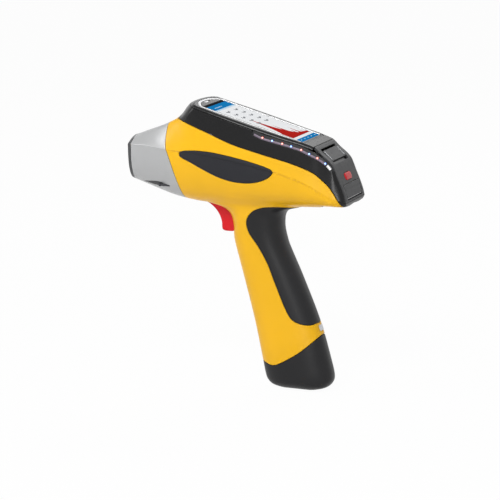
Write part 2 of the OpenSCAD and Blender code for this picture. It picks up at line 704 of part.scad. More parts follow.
module power_button() color("red") on_button() translate([0, 0, button_proud - button_t])
    rounded([button_h, button_l, button_t], 3);
switch_z0 = button_proud - button_t - button_travel - .1 - switch_t;
module power_switch() color("dimgray") on_button()
    box([button_h + .4, button_l + .2, switch_t], [0, 0, switch_z0 + switch_t / 2]);
module port_bay(g) {
    on_cover() box([12.6 + 2 * g, 40 + 2 * g, 14], [-.5, 0, -9]);
}
module data_ports() color("dimgray") on_cover() difference() {
    box([12.6, 40, 10], [-.5, 0, -9]);
    for (y = [-12, 12]) box([3.4, 9, 12], [-.5, y, -4]);
    translate([-.5, 0, -9]) cylinder(r = 1.9, h = 8);
}
hinge_x = cover_h / 2 - 1.2;
module port_cover() color("dimgray") on_cover() difference() {
    union() {
        box([cover_h - 1.2, cover_l, 2], [-.6, 0, -1]);
        rod(1.2, cover_l, [hinge_x, 0, -1.2]);
    }
    rod(.6 + run, cover_l + 2, [hinge_x, 0, -1.2]);
}
module port_cover_pin() color("silver") on_cover() rod(.6, cover_l + 4, [hinge_x, 0, -1.2]);

// ---------- side lights and pads ----------

module light_pipe(s) {
    $fn = 16;
    difference() {
        intersection() {
            light_zone(0, s);
            body_form(.5);
        }
        body_form(2.4);
        leds([0 : 7], led_r + seat);
    }
}
module left_light_pipe() color("lightsteelblue") light_pipe(-1);
module right_light_pipe() color("lightsteelblue") light_pipe(1);
function side_y(x, z) = let (t = (z - crease_z(x)) / (top_z(x) - 3.5 - crease_z(x)))
    half_w(x) + (min(top_half(x), half_w(x)) - half_w(x)) * t;
module leds(which, r) {
    for (i = which, s = [-1, 1]) let (p = placed(LIGHTS, display_z)[i + 1 > 8 ? 8 : i + 1])
        box([2 * r, 2, 2 * r], [p[0], s * (side_y(p[0], p[1]) - 1.1), p[1]]);
}
led_r = 1.1;
module red_leds() color("red") leds([0 : 2 : 6], led_r);
module blue_leds() color("blue") leds([1 : 2 : 7], led_r);
module side_pad(s) {
    intersection() {
        difference() {
            body_form(-.5);
            body_form(1.5);
        }
        leaf(0, min(s * 60, 0), max(s * 60, 0));
    }
}
module left_side_pad() color("dimgray") side_pad(-1);
module right_side_pad() color("dimgray") side_pad(1);
module underside_pad() color("dimgray") intersection() {
    difference() {
        body_form(-.4);
        body_form(1.1);
    }
    oval_zone(0);
    box([FAR, FAR, FAR], [0, 0, -FAR / 2 - .5 * belly_d]);
}
module grip_rubber() color("dimgray") intersection() {
    difference() {
        grip_loft(0);
        grip_loft(rubber_t);
        body_form(-seat);
    }
    rubber_zone(0);
}

// ---------- trigger ----------

BLADE = [[.347, -.181], [.37, -.197], [.39, -.218], [.404, -.243], [.411, -.267], [.412, -.29],
    [.4155, -.3], [.428, -.306], [.4615, -.306]];
pivot = [trigger_at[0], trigger_at[2]];
shoulder_z = pivot[1] - 4;
module trigger() color("crimson") difference() {
    side(concat(soft(placed(BLADE, grip_d), 2), [[.47 * body_l, -.3 * grip_d],
        [.47 * body_l, -.24 * grip_d], [.455 * body_l, shoulder_z - 4], [.455 * body_l, shoulder_z],
        [pivot[0] + 5, shoulder_z], pivot + [5, 1], pivot + [3.5, 4], pivot + [0, 5],
        pivot + [-3.5, 3.5], pivot + [-5.5, -1]]), -trigger_w / 2, trigger_w / 2);
    rod(pin_r + run, 60, trigger_at);
}
module trigger_pin() color("silver") rod(pin_r, trigger_w + 6, trigger_at);
// Coil spring between the shoulder of the trigger and the chassis.
spring_r = 2.6;
wire_r = .4;
turns = 4;
coil_steps = 9;
wire_sides = 5;
spring_low = shoulder_z + wire_r + seat;
spring_high = chassis_z - chassis_t / 2 - wire_r - seat;
function coil(i) = let (a = 360 * i / coil_steps, h = i / (turns * coil_steps)) [
    for (k = [0 : wire_sides - 1]) let (q = 360 * k / wire_sides, r = spring_r + wire_r * cos(q))
        [r * cos(a), r * sin(a), spring_low + (spring_high - spring_low) * h + wire_r * sin(q)]
];
module trigger_spring() color("silver") {
    n = turns * coil_steps;
    m = wire_sides;
    translate([pivot[0] + 11, 0, 0]) polyhedron([for (i = [0 : n], p = coil(i)) p], concat(
        [[for (k = [0 : m - 1]) k], [for (k = [m - 1 : -1 : 0]) n * m + k]],
        [for (i = [0 : n - 1], k = [0 : m - 1], half = [0, 1]) let (
                a = i * m + k, b = i * m + (k + 1) % m
            ) half == 0 ? [a, a + m, b + m] : [a, b + m, b]]));
}
switch_x = [.488 * body_l, .56 * body_l];
switch_z = [-.25 * grip_d, -.2 * grip_d];
module trigger_switch() color("dimgray") translate([switch_x[0], -5, switch_z[0]])
    cube([switch_x[1] - switch_x[0], 10, switch_z[1] - switch_z[0]]);

// ---------- battery ----------

case_l = 2 * cell_l + 4;
module battery_contacts() color("gray") on_well() box([30, 16, 6], [0, 0, 3 + seat]);
module battery_case() color("dimgray") on_well() difference() {
    box([4 * cell_r + 3, 2 * cell_r + 3.4, case_l], [0, 0, -.2 - case_l / 2]);
    box([4 * cell_r + .4, 2 * cell_r + .4, 2 * cell_l + .4], [0, 0, -2 - .2 - cell_l]);
}
module battery_cells() color("teal") on_well() for (x = [-1, 1], k = [0, 1])
    translate([x * cell_r, 0, -2.4 - cell_l * (k + 1)]) cylinder(r = cell_r - .05, h = cell_l - .1);
module battery_base() color("dimgray") difference() {
    intersection() {
        grip_loft(0);
        base_zone(0);
    }
    on_well() box([4 * cell_r + 3 + 2 * seat, 2 * cell_r + 3.4 + 2 * seat, case_l + 2 * (.2 + seat)],
        [0, 0, -case_l / 2]);
}
latch_at = [rear_x(-.716 * grip_d), 0, -.716 * grip_d];
catch_w = 10;
catch_h = 7;
catch_d = 6;
module on_latch() {
    translate(latch_at) rotate([0, -well_tilt, 0]) children();
}
module battery_latch() color("silver") on_latch() box([catch_d, catch_w, catch_h], [1 - catch_d / 2, 0, 0]);

left_shell();
right_shell();
nose_cone();
front_plate();
window_film();
left_side_pad();
right_side_pad();
grip_rubber();
top_housing();
display_bezel();
display_glass();
lcd_panel();
rear_panel();
left_light_pipe();
right_light_pipe();
red_leds();
blue_leds();
shell_screws();
nose_screws();
chassis();
measuring_block();
xray_tube();
tube_boot();
hv_supply();
detector();
preamp_board();
main_board();
processor_cover();
filter_wheel();
filter_pinion();
filter_motor();
trigger();
trigger_pin();
trigger_spring();
trigger_switch();
power_button();
power_switch();
display_latch();
port_cover();
port_cover_pin();
data_ports();
speaker();
battery_contacts();
battery_case();
battery_base();
battery_cells();
battery_latch();
underside_pad();
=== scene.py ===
import math
import bpy
import numpy as np
from mathutils import Matrix, Vector
from mathutils.geometry import tessellate_polygon


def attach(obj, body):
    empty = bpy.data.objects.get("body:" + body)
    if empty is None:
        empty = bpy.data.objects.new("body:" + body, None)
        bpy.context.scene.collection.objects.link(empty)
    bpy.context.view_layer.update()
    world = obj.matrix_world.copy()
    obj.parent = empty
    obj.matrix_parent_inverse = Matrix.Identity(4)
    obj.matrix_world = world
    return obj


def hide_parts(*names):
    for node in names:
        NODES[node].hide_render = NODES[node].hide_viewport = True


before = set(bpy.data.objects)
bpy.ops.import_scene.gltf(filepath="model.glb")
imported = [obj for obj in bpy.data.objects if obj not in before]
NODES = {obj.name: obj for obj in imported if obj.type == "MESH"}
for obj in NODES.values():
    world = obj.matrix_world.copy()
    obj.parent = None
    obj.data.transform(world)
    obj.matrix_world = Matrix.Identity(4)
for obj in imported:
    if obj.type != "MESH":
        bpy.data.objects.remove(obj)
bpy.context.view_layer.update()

MM = .001

# ---------- sizes and outlines, the same as the solids' ----------

# Length, width, height of the display's front edge, depth of the belly and depth of the handle.
L, W, DZ, BD, GD = 260., 88., 68., 45., 247.
TILT = 15.4
# Half the joint line between two mouldings, and between the two shell halves.
GAP, SPLIT = .25, .12
# The display plane starts at EDGE, a share of the length, and falls towards the tail.
EDGE = .304
FALL = math.tan(math.radians(TILT)) * L / DZ
# The tail is as wide as the rear panel and a margin on both sides.
PANEL_HALF = 30
REAR = (2 * PANEL_HALF + 2 * 1.7) / W
display_line = lambda u: 1 - FALL * (u - EDGE)


def curve(points):
    """Cubic Hermite curve with Catmull-Rom slopes through [t, value] points."""
    t, v = np.array(points, float).T
    n = len(t)
    a, b = np.maximum(np.arange(n) - 1, 0), np.minimum(np.arange(n) + 1, n - 1)
    m = (v[b] - v[a]) / (t[b] - t[a])

    def at(q):
        q = np.clip(q, t[0], t[-1])
        i = np.clip(np.searchsorted(t, q, side="right") - 1, 0, n - 2)
        h = t[i + 1] - t[i]
        u = (q - t[i]) / h
        return ((2 * u**3 - 3 * u**2 + 1) * v[i] + (u**3 - 2 * u**2 + u) * m[i] * h
                + (3 * u**2 - 2 * u**3) * v[i + 1] + (u**3 - u**2) * m[i + 1] * h)
    return at


def soft(points, steps):
    """Smooth polyline through points."""
    p = np.array(points, float)
    n = len(p)
    out = []
    for i in range(n - 1):
        a, b, c, d = p[max(i - 1, 0)], p[i], p[i + 1], p[min(i + 2, n - 1)]
        for k in range(steps):
            u = k / steps
            out.append((2 * u**3 - 3 * u**2 + 1) * b + (u**3 - 2 * u**2 + u) * (c - a) / 2
                       + (3 * u**2 - 2 * u**3) * c + (u**3 - u**2) * (d - b) / 2)
    return np.array(out + [p[-1]])


# Over x / L: the roof and the line between shells and housing in DZ, the belly and the crease in BD,
# the half width at the crease and at the roof in W / 2.
TOP = curve([[0, .353], [.027, .39], [.081, .47], [.138, .551], [.192, .64], [.215, .69], [.238, .78],
             [.258, .89], [.277, .965], [EDGE, 1]] + [[u, display_line(u)] for u in (.338, .5, .7, .854)]
            + [[.885, .318], [.938, .14], [.9615, -.059], [.992, -.324], [1, -.456]])
BELLY = curve([[0, .54], [.09, .69], [.2, .87], [.27, .945], [.35, .99], [.5, 1], [.77, .935],
               [.94, .87], [.98, .84], [1, .8]])
HALF = curve([[0, .5], [.04, .58], [.115, .727], [.2, .85], [.308, .943], [.46, 1], [.65, 1],
              [.81, .943], [.92, REAR + .143], [.98, REAR + .086], [1, REAR + .049]])
TOP_HALF = curve([[0, .32], [.115, .455], [.2, .6], [.254, .73], [.308, .8], [.48, .875],
                  [.65, .864], [.854, REAR + .039], [.94, REAR + .029], [1, REAR]])
CREASE = curve([[0, .38], [.115, .4], [.2, .36], [.385, .31], [.527, .2], [.646, .07], [.727, -.04],
                [.83, -.24], [.91, -.49], [.954, -.62], [1, -.73]])
WAIST = curve([[.19, .73], [.25, .72], [.38, .574], [.504, .404], [.638, .272], [.762, .154],
               [.862, .015], [.908, -.118], [.931, -.2], [.958, -.34], [.98, -.5], [1, -.68]])
# The nose's joint: x / L over z / BD.
NOSE_EDGE = curve([[-1.1, .266], [-.87, .262], [-.67, .257], [-.42, .247], [-.07, .229], [.22, .212],
                   [.4, .2], [.69, .192], [1.2, .197]])
# The handle over -z / GD: front and rear in L, half width in W / 2.
GRIP_FRONT = curve([[.12, .35], [.17, .34], [.19, .4], [.2, .423], [.22, .446], [.245, .4575],
                    [.28, .463], [.32, .463], [.36, .47], [.5, .506], [.7, .556], [.89, .596],
                    [.94, .606], [.965, .615], [.985, .636], [1, .68]])
GRIP_REAR = curve([[.12, .76], [.17, .77], [.19, .715], [.2, .697], [.22, .684], [.245, .68],
                   [.28, .681], [.32, .69], [.36, .703], [.5, .766], [.7, .846], [.89, .9],
                   [.94, .909], [.965, .902], [.985, .882], [1, .84]])
GRIP_HALF = curve([[.12, .74], [.15, .655], [.17, .6], [.2, .565], [.24, .547], [.32, .525],
                   [.5, .5], [.7, .49], [.9, .51], [.96, .5], [.985, .46], [1, .38]])
# Lines in the side view, in x / L and z / GD; the leaf pad's second number is z / BD, and the side
# lights' is the depth under the display plane in DZ.
LEAF = [[.268, .22], [.268, .3], [.288, .355], [.34, .385], [.41, .38], [.48, .33], [.556, .255],
        [.62, .175], [.666, .1], [.69, .035], [.69, -.05], [.67, -.16], [.638, -.25], [.595, -.31],
        [.55, -.325], [.5, -.3], [.44, -.21], [.38, -.07], [.32, .085], [.283, .17], [.268, .22]]
RUBBER = [[.79, -.182], [.762, -.176], [.73, -.173], [.696, -.171], [.66, -.172], [.619, -.177],
          [.577, -.196], [.553, -.225], [.546, -.255], [.558, -.296], [.592, -.344], [.619, -.389],
          [.642, -.433], [.665, -.494], [.692, -.563], [.719, -.627], [.746, -.672], [.785, -.692],
          [.831, -.696], [.881, -.672], [.95, -.65]]
BASE = [[.55, -.87], [.627, -.887], [.658, -.891], [.685, -.883], [.727, -.858], [.769, -.83],
        [.808, -.798], [.838, -.769], [.881, -.729], [.96, -.69]]
LIGHT_DROP = [[.606, .097], [.642, .114], [.684, .11], [.727, .102], [.765, .099], [.808, .101],
              [.842, .123], [.877, .146], [.911, .191], [.94, .27]]
LIGHTS = np.array([[u * L, (display_line(u) - d) * DZ] for u, d in LIGHT_DROP])
BLADE = [[.347, -.181], [.37, -.197], [.39, -.218], [.404, -.243], [.411, -.267], [.412, -.29],
         [.4155, -.3], [.428, -.306], [.4615, -.306]]
# Screw bosses, in millimetres.
BOSSES = [[.285 * L, .5 * BD], [.615 * L, -.73 * BD], [.88 * L, -.5 * BD], [.503 * L, -.385 * GD],
          [.579 * L, -.668 * GD]]
PANEL_X, TAIL_Z = .858 * L, -.688 * BD
SLOT_HALF, TRIGGER_HALF = 10.4, 8.8
BOSS_BORE = 2.7
TEARDROP = [[17, -24.8], [24, -23.6], [32, -22.5], [39, -22], [44.5, -22.9], [47.2, -25.2], [45, -27.2],
            [40, -27.8], [32, -27.4], [25, -26.3], [17, -24.8]]
# The display, in the facet's own x, y: its frame, the pane, the slot of the ear piece and the lines
# where the silver frame and the front fascia end.
RIM, RIM_AT, RIM_ARCH = (68.8, 31.2), (70., 0), 12
PANE, PANE_AT, PANE_ROUND = (61, 28), (75, 0), 3
EAR, EAR_AT, EAR_ROUND = (1.2, 6.5), (7.6, 0), 1.1
FRAME_END, FASCIA_END = 133.8, 18
# The housing and the bezel meet below the display plane, under the frame.
HOUSING_TOP, BEZEL_FOOT = -3.5, -3.3
# Openings in the rear panel: half sizes, corner radius, place on the facet and reach through it.
LATCH_BAY = (11, 21.5), 1.2, (.5, 0), 9
BUTTON_BAY = (4.3, 9.3), 3.2, (0, 0), 9
COVER_BAY = (8.5, 23.4), 1.5, (.2, 0), 7
BATTERY_LATCH_HOLE, BATTERY_LATCH_ROUND = (4.3, 2.8), .8
rubber_line = np.vstack([soft(RUBBER, 6) * [L, GD], [[1.2 * L, -.66 * GD], [1.2 * L, -.3 * GD],
                                                      [.83 * L, -.23 * GD]]])
leaf_line = soft(LEAF, 6) * [L, BD]
base_line = curve(np.array(BASE) * [L, GD])

# ---------- frames on the body ----------


def frame_at(x, z, tilt):
    """Matrix (3x3 columns) and origin of a facet that leans by tilt degrees about Y."""
    c, s = math.cos(math.radians(tilt)), math.sin(math.radians(tilt))
    return np.array([[c, 0, s], [0, 1, 0], [-s, 0, c]]), np.array([x, 0, z])


SCREEN = frame_at(EDGE * L, DZ, TILT)
UPPER = frame_at(.905 * L, .262 * DZ, 42)
BUTTON = frame_at(.9655 * L, -.085 * DZ, 67)
# The port cover stands over the tail's lower edge, let into the outline.
COVER_H, COVER_TILT, COVER_RISE, COVER_INSET = 16, 71, 3, .55
cover_z = TAIL_Z + COVER_H / 2 * math.sin(math.radians(COVER_TILT)) + COVER_RISE
tail = np.linspace(.9, 1, 4001)
COVER = frame_at(L * np.interp(-cover_z / DZ, -TOP(tail), tail) - COVER_INSET, cover_z, COVER_TILT)
LATCH_Z = -.716 * GD
LATCH = frame_at(float(GRIP_REAR(.716)) * L, LATCH_Z, -19)
# The same place with its third axis pointing out of the handle.
LATCH_OUT = (np.column_stack([LATCH[0][:, 1], LATCH[0][:, 2], LATCH[0][:, 0]]), LATCH[1])
local = lambda f, p: (p - f[1]) @ f[0]
world = lambda f, q: q @ f[0].T + f[1]

# ---------- the outer form as a field: negative inside, about a distance near the surface ----------


def rmax(a, b, r):
    """Largest of two distances, with a rounded edge."""
    return np.minimum(np.maximum(a, b), -r) + np.hypot(np.maximum(a + r, 0), np.maximum(b + r, 0)) \
        if r > 0 else np.maximum(a, b)


def smin(a, b, k):
    """Smallest of two distances, blended over k."""
    h = np.clip(.5 + .5 * (b - a) / k, 0, 1)
    return b * (1 - h) + a * h - k * h * (1 - h)


def smooth(t):
    t = np.clip(t, 0, 1)
    return t * t * (3 - 2 * t)


def slope(f, q, e=.002):
    """Slope of a curve at q."""
    return (f(q + e) - f(q - e)) / (2 * e)


def oval(a, b, ra, rb, power):
    """About the distance to a superellipse with these radii and power."""
    n = ((np.abs(a) / ra)**power + (np.abs(b) / rb)**power)**(1 / power)
    return (n - 1) * np.where(n > .02, np.hypot(a, b) / np.maximum(n, .02), np.minimum(ra, rb))


def body_field(p):
    """The barrel from the nose to the tail: side profile, creased sides, arched front of the display."""
    x, y, z = p[..., 0], np.abs(p[..., 1]), p[..., 2]
    u = x / L
    late = u - .052 * np.clip(y / 35, 0, 1.2)**2.5 * smooth((u - .2) / .06)
    zt, zb = DZ * np.minimum(TOP(u), TOP(late)), -BD * BELLY(u)
    zc = np.minimum(np.maximum(BD * CREASE(u), zb + 1), zt - 1)
    w = W / 2 * HALF(u)
    t = np.minimum(W / 2 * TOP_HALF(u), w)
    step = 1.2 * np.clip((u - .2) * 25, 0, 1) * np.clip((.98 - u) * 12, 0, 1)
    low = oval(y, np.maximum(zc - z, 0), w - step, zc - zb, 2.667)
    r = np.minimum(3.5, (zt - zc) / 2)
    lean = (w - t) / np.maximum(zt - r - zc, .5)
    side = (y - w + (z - zc) * lean) / np.sqrt(1 + lean**2)
    crown = (z - zt) / np.sqrt(1 + (slope(TOP, u) * DZ / L)**2)
    high = np.maximum(side, crown)
    high = np.minimum(high, -r) + np.hypot(np.maximum(side + r, 0), np.maximum(crown + r, 0))
    mix = smooth((z - zc + 1.3) / 1.8)
    d = low * (1 - mix) + high * mix
    under = (zb - z) / np.sqrt(1 + (slope(BELLY, u) * BD / L)**2)
    bend = 3 + 11 * smooth((x - 228) / 20)
    corner = np.hypot(np.maximum(y - w + bend, 0), np.maximum(zb + bend - z, 0)) - bend
    d = np.where(x > 225, np.maximum(rmax(np.maximum(d, crown), under, 6.), corner), d)
    return rmax(rmax(d, -x, .8), x - L, 1.2)


def grip_field(p):
    """The handle with the battery's foot; its sole is curved across."""
    x, y, z = p[..., 0], p[..., 1], p[..., 2]
    v = -z / GD
    f, r, b = L * GRIP_FRONT(v), L * GRIP_REAR(v), W / 2 * GRIP_HALF(v)
    d = oval(x - (r + f) / 2, y, (r - f) / 2, b, 2.353)
    sole = -z - GD + 4.5 * np.minimum(np.abs(y) / 19, 1.2)**3
    return rmax(rmax(d, z + .125 * GD, 3), sole, 4)


def form(p):
    """The whole outer form."""
    return smin(body_field(p), grip_field(p), 5)


def gradient(f, p, e=.05):
    g = np.empty_like(p)
    for k in range(3):
        d = np.zeros(3)
        d[k] = e
        g[:, k] = (f(p + d) - f(p - d)) / (2 * e)
    return g


def unit(v):
    return v / np.maximum(np.linalg.norm(v, axis=-1, keepdims=True), 1e-9)


def settle(f, p, turns=3):
    """Moves points onto the surface f = 0."""
    for _ in range(turns):
        g = gradient(f, p)
        step = (f(p) / np.maximum((g * g).sum(1), .05))[:, None] * g
        p = p - step * np.minimum(1, 1.5 / np.maximum(np.linalg.norm(step, axis=1, keepdims=True), 1e-9))
    return p


def net(f, low, high, h):
    """Quads of the surface f = 0 by surface nets on a grid of pitch h."""
    size = [int(math.ceil((b - a) / h)) + 1 for a, b in zip(low, high)]
    axes = [a + h * np.arange(n) for a, n in zip(low, size)]
    field = np.empty(size)
    yy, zz = np.meshgrid(axes[1], axes[2], indexing="ij")
    for i, x in enumerate(axes[0]):
        field[i] = f(np.stack([np.full_like(yy, x), yy, zz], -1))
    cells = tuple(n - 1 for n in size)
    total, count = np.zeros(cells + (3,)), np.zeros(cells)
    found = []
    for k in range(3):
        a = np.take(field, range(size[k] - 1), axis=k)
        b = np.take(field, range(1, size[k]), axis=k)
        at = np.argwhere((a < 0) != (b < 0))
        fa, fb = a[tuple(at.T)], b[tuple(at.T)]
        spot = at.astype(float)
        spot[:, k] += fa / (fa - fb)
        o1, o2 = [j for j in range(3) if j != k]
        corner = []
        for s1, s2 in ((0, 0), (1, 0), (1, 1), (0, 1)):
            c = at.copy()
            c[:, o1] -= s1
            c[:, o2] -= s2
            corner.append(c)
            np.add.at(total, tuple(c.T), spot)
            np.add.at(count, tuple(c.T), 1)
        found.append((corner, (fa < 0) != (k == 1)))
    used = np.argwhere(count > 0)
    index = -np.ones(cells, int)
    index[tuple(used.T)] = np.arange(len(used))
    verts = np.array(low) + h * total[tuple(used.T)] / count[tuple(used.T)][:, None]
    quads = []
    for corner, flip in found:
        q = np.stack([index[tuple(c.T)] for c in corner], 1)
        quads.append(np.where(flip[:, None], q, q[:, ::-1]))
    return verts, np.vstack(quads)


def relax(f, v, quads, turns):
    """Evens out the spacing of the points along the surface."""
    e = np.vstack([quads[:, [i, (i + 1) % 4]] for i in range(4)])
    e = np.unique(np.sort(e, 1), axis=0)
    n = np.bincount(e.ravel(), minlength=len(v))[:, None]
    for _ in range(turns):
        s = np.zeros_like(v)
        np.add.at(s, e[:, 0], v[e[:, 1]])
        np.add.at(s, e[:, 1], v[e[:, 0]])
        move = s / n - v
        g = unit(gradient(f, v))
        move -= (move * g).sum(1, keepdims=True) * g
        v = settle(f, v + .5 * move, 1)
    return v


class Skin:
    """A triangulated surface, its field and its normals."""

    def __init__(self, field, v, tris, up=None):
        self.field, self.v, self.tris, self.up = field, v, tris, up

    def normal(self, p):
        return np.tile(self.up, (len(p), 1)) if self.up is not None else unit(gradient(self.field, p))

    def hold(self, p):
        return p if self.up is not None else settle(self.field, p, 2)


def clip(skin, g, pull):
    """The part of the skin where g <= 0, with its points near the line drawn onto it."""
    v, tris = skin.v.copy(), skin.tris
    gv = g(v)
    near = np.flatnonzero(np.abs(gv) < pull)
    for _ in range(2):
        p = v[near]
        n = skin.normal(p)
        m = gradient(g, p, .08)
        m -= (m * n).sum(1, keepdims=True) * n
        s = g(p) / np.maximum((m * m).sum(1), .3)
        v[near] = skin.hold(p - s[:, None] * m)
    gv = g(v)
    gv[near] = np.where(np.abs(gv[near]) < .25 * pull, 0, gv[near])
    keep = gv <= 0
    inside = keep[tris].sum(1)
    out = [tris[inside == 3]]
    cut = tris[(inside == 1) | (inside == 2)]
    odd = np.where((keep[cut].sum(1) == 1)[:, None], keep[cut], ~keep[cut])
    cut = np.take_along_axis(cut, (odd.argmax(1)[:, None] + np.arange(3)) % 3, 1)
    pairs = np.vstack([cut[:, [0, 1]], cut[:, [0, 2]]])
    key, back = np.unique(np.sort(pairs, 1), axis=0, return_inverse=True)
    back = back.reshape(-1)
    a, b = key[:, 0], key[:, 1]
    t = gv[a] / np.where(gv[a] == gv[b], 1, gv[a] - gv[b])
    spot = skin.hold(v[a] + t[:, None] * (v[b] - v[a]))
    ids = len(v) + np.arange(len(key))
    ids = np.where(keep[a] & (gv[a] == 0), a, np.where(keep[b] & (gv[b] == 0), b, ids))
    m1, m2 = ids[back[:len(cut)]], ids[back[len(cut):]]
    one = keep[cut[:, 0]]
    out.append(np.stack([cut[one, 0], m1[one], m2[one]], 1))
    two = ~one
    out.append(np.stack([m1[two], cut[two, 1], cut[two, 2]], 1))
    out.append(np.stack([m1[two], cut[two, 2], m2[two]], 1))
    v = np.vstack([v, spot])
    tris = np.vstack(out)
    tris = tris[(tris[:, 0] != tris[:, 1]) & (tris[:, 1] != tris[:, 2]) & (tris[:, 0] != tris[:, 2])]
    used, tris = np.unique(tris, return_inverse=True)
    return v[used], tris.reshape(-1, 3)


def region(skin, g, edge=.5, depth=2., lift=0., pull=.45):
    """Points, faces and normals of a moulding: the skin where g < 0, with a rounded edge and a wall."""
    v, tris = clip(skin, lambda p: g(p) + edge, pull)
    n = skin.normal(v)
    e = np.vstack([tris[:, [0, 1]], tris[:, [1, 2]], tris[:, [2, 0]]])
    key = np.sort(e, 1)
    _, first, count = np.unique(key, axis=0, return_index=True, return_counts=True)
    rim = e[first[count == 1]]
    ids = np.unique(rim)
    p, up = v[ids], n[ids]
    m = gradient(g, p, .15)
    m -= (m * up).sum(1, keepdims=True) * up
    m = unit(m)
    where = -np.ones(len(v), int)
    where[ids] = np.arange(len(ids))
    points, normals, faces = [v + lift * n], [n], [tris]
    last = rim
    rings = [(edge * math.sin(a), -edge * (1 - math.cos(a)), a) for a in np.radians([35, 65, 90])]
    rings.append((edge, -edge - depth, math.pi / 2))
    base = len(v)
    for out, down, a in rings:
        points.append(p + out * m + (down + lift) * up)
        normals.append(up * math.cos(a) + m * math.sin(a))
        ring = where[rim] + base
        faces.append(np.stack([last[:, 1], last[:, 0], ring[:, 0]], 1))
        faces.append(np.stack([last[:, 1], ring[:, 0], ring[:, 1]], 1))
        last = ring
        base += len(ids)
    return np.vstack(points), np.vstack(faces), np.vstack(normals)


# ---------- flat outlines as distances ----------


def distance_to(line):
    """Signed distance to a closed outline in the plane, negative inside."""
    a = np.array(line, float)
    if np.linalg.norm(a[0] - a[-1]) < 1e-6:
        a = a[:-1]
    b = np.roll(a, -1, 0)

    def at(q):
        flat = q.reshape(-1, 2)
        out = np.empty(len(flat))
        for s in range(0, len(flat), 4000):
            p = flat[s:s + 4000, None, :]
            ab = (b - a)[None]
            t = np.clip(((p - a) * ab).sum(2) / (ab**2).sum(2), 0, 1)
            d = np.sqrt((((a + t[..., None] * ab) - p)**2).sum(2)).min(1)
            cross = (a[None, :, 1] > p[..., 1]) != (b[None, :, 1] > p[..., 1])
            with np.errstate(divide="ignore", invalid="ignore"):
                xs = a[None, :, 0] + (p[..., 1] - a[None, :, 1]) * ab[..., 0] / ab[..., 1]
            inside = (cross & (p[..., 0] < xs)).sum(1) % 2 == 1
            out[s:s + 4000] = np.where(inside, -d, d)
        return out.reshape(q.shape[:-1])
    return at


def plate_sd(q, half, r):
    """Signed distance to a rounded rectangle with these half sizes."""
    d = np.abs(q) - np.array(half) + r
    return np.minimum(d.max(-1), 0) + np.hypot(np.maximum(d[..., 0], 0), np.maximum(d[..., 1], 0)) - r


def both(*gs, r=.8):
    """Where all of these regions overlap, with edges rounded by r."""
    out = gs[0]
    for g in gs[1:]:
        out = rmax(out, g, r)
    return out


leaf_outline, rubber_outline = distance_to(leaf_line), distance_to(rubber_line)
slot_outline = distance_to(np.array([[.34, -.12], [.34, -.2], [.42, -.33], [.492, -.33], [.492, -.12]])
                           * [L, GD])
teardrop = distance_to(soft(TEARDROP, 6))
side = lambda p: p[..., [0, 2]]
leaf = lambda p: leaf_outline(side(p))
rubber = lambda p: rubber_outline(side(p))
light_path = soft(LIGHTS, 8)
light_outline = distance_to(np.vstack([light_path + [0, .01], light_path[::-1] - [0, .01]]))
light = lambda p: np.maximum(light_outline(side(p) - [0, .75]) - 2.7, 31.2 - np.abs(p[..., 1]))


def waist(p):
    """Distance above the line between the shells and the housing."""
    x = p[..., 0] / L
    return (p[..., 2] - DZ * WAIST(x)) / np.sqrt(1 + (slope(WAIST, x) * DZ / L)**2)


def nose(p):
    """Distance behind the nose's joint."""
    z = p[..., 2] / BD
    return (p[..., 0] - L * NOSE_EDGE(z)) / np.sqrt(1 + (slope(NOSE_EDGE, z) * L / BD)**2)


def base(p):
    """Distance above the joint of the battery's foot."""
    x = np.clip(p[..., 0], .55 * L, .96 * L)
    return (p[..., 2] - base_line(x)) / np.sqrt(1 + slope(base_line, x, .5)**2)


def slot(p):
    """The trigger's opening in the handle."""
    return rmax(slot_outline(side(p)), np.abs(p[..., 1]) - SLOT_HALF, 1)


def oval_pad(p):
    """The oval pad under the tail."""
    d = oval(p[..., 0] - .877 * L, p[..., 1], 14., 9., 2.)
    return np.maximum(d, np.abs(p[..., 2] + BD) - .5 * BD)


def on(f, p, half, r, shift=(0, 0), deep=12):
    """Distance to a rounded opening drawn on a facet."""
    q = local(f, p)
    return np.maximum(plate_sd(q[..., :2] - np.array(shift), half, r), np.abs(q[..., 2]) - deep)


screen_z = lambda p: local(SCREEN, p)[..., 2]
most = lambda *gs: np.max(gs, 0)
ear_slot = lambda q: plate_sd(q - EAR_AT, EAR, EAR_ROUND)


def rim_line(q):
    """Edge of the display's frame, arched at the front."""
    arch = (1.2 + RIM_ARCH * np.minimum(np.abs(q[..., 1]) / RIM[1], 1.2)**2.5 - q[..., 0]) * .85
    return rmax(plate_sd(q - RIM_AT, RIM, 6), arch, 3)


def pane(q):
    """Outline of the display's opening."""
    return plate_sd(q - PANE_AT, PANE, PANE_ROUND)


def latch_hole(p):
    """The battery latch's hole in the rear of the handle."""
    q = local(LATCH, p)
    plate = plate_sd(q[..., [1, 2]], BATTERY_LATCH_HOLE, BATTERY_LATCH_ROUND)
    return np.maximum(plate, np.abs(q[..., 0]) - 12)


def panel(p):
    """The rear panel, from the waist down to the tail's lower edge."""
    return both(np.abs(p[..., 1]) - PANEL_HALF, PANEL_X - p[..., 0], TAIL_Z - p[..., 2], -waist(p), r=1.2)


def openings(p):
    """Openings of the rear panel for the display latch, the power button and the port cover."""
    return np.min([on(UPPER, p, *LATCH_BAY), on(BUTTON, p, *BUTTON_BAY), on(COVER, p, *COVER_BAY)], 0)


def nose_pocket(p):
    """Teardrop pockets in both sides of the nose."""
    return np.maximum(teardrop(side(p)), 12 - np.abs(p[..., 1]))


def holes(p):
    """Screw holes on the side with positive Y."""
    q = side(p)
    d = np.min([np.hypot(q[..., 0] - bx, q[..., 1] - bz) for bx, bz in BOSSES], 0) - BOSS_BORE
    return np.maximum(d, -p[..., 1])


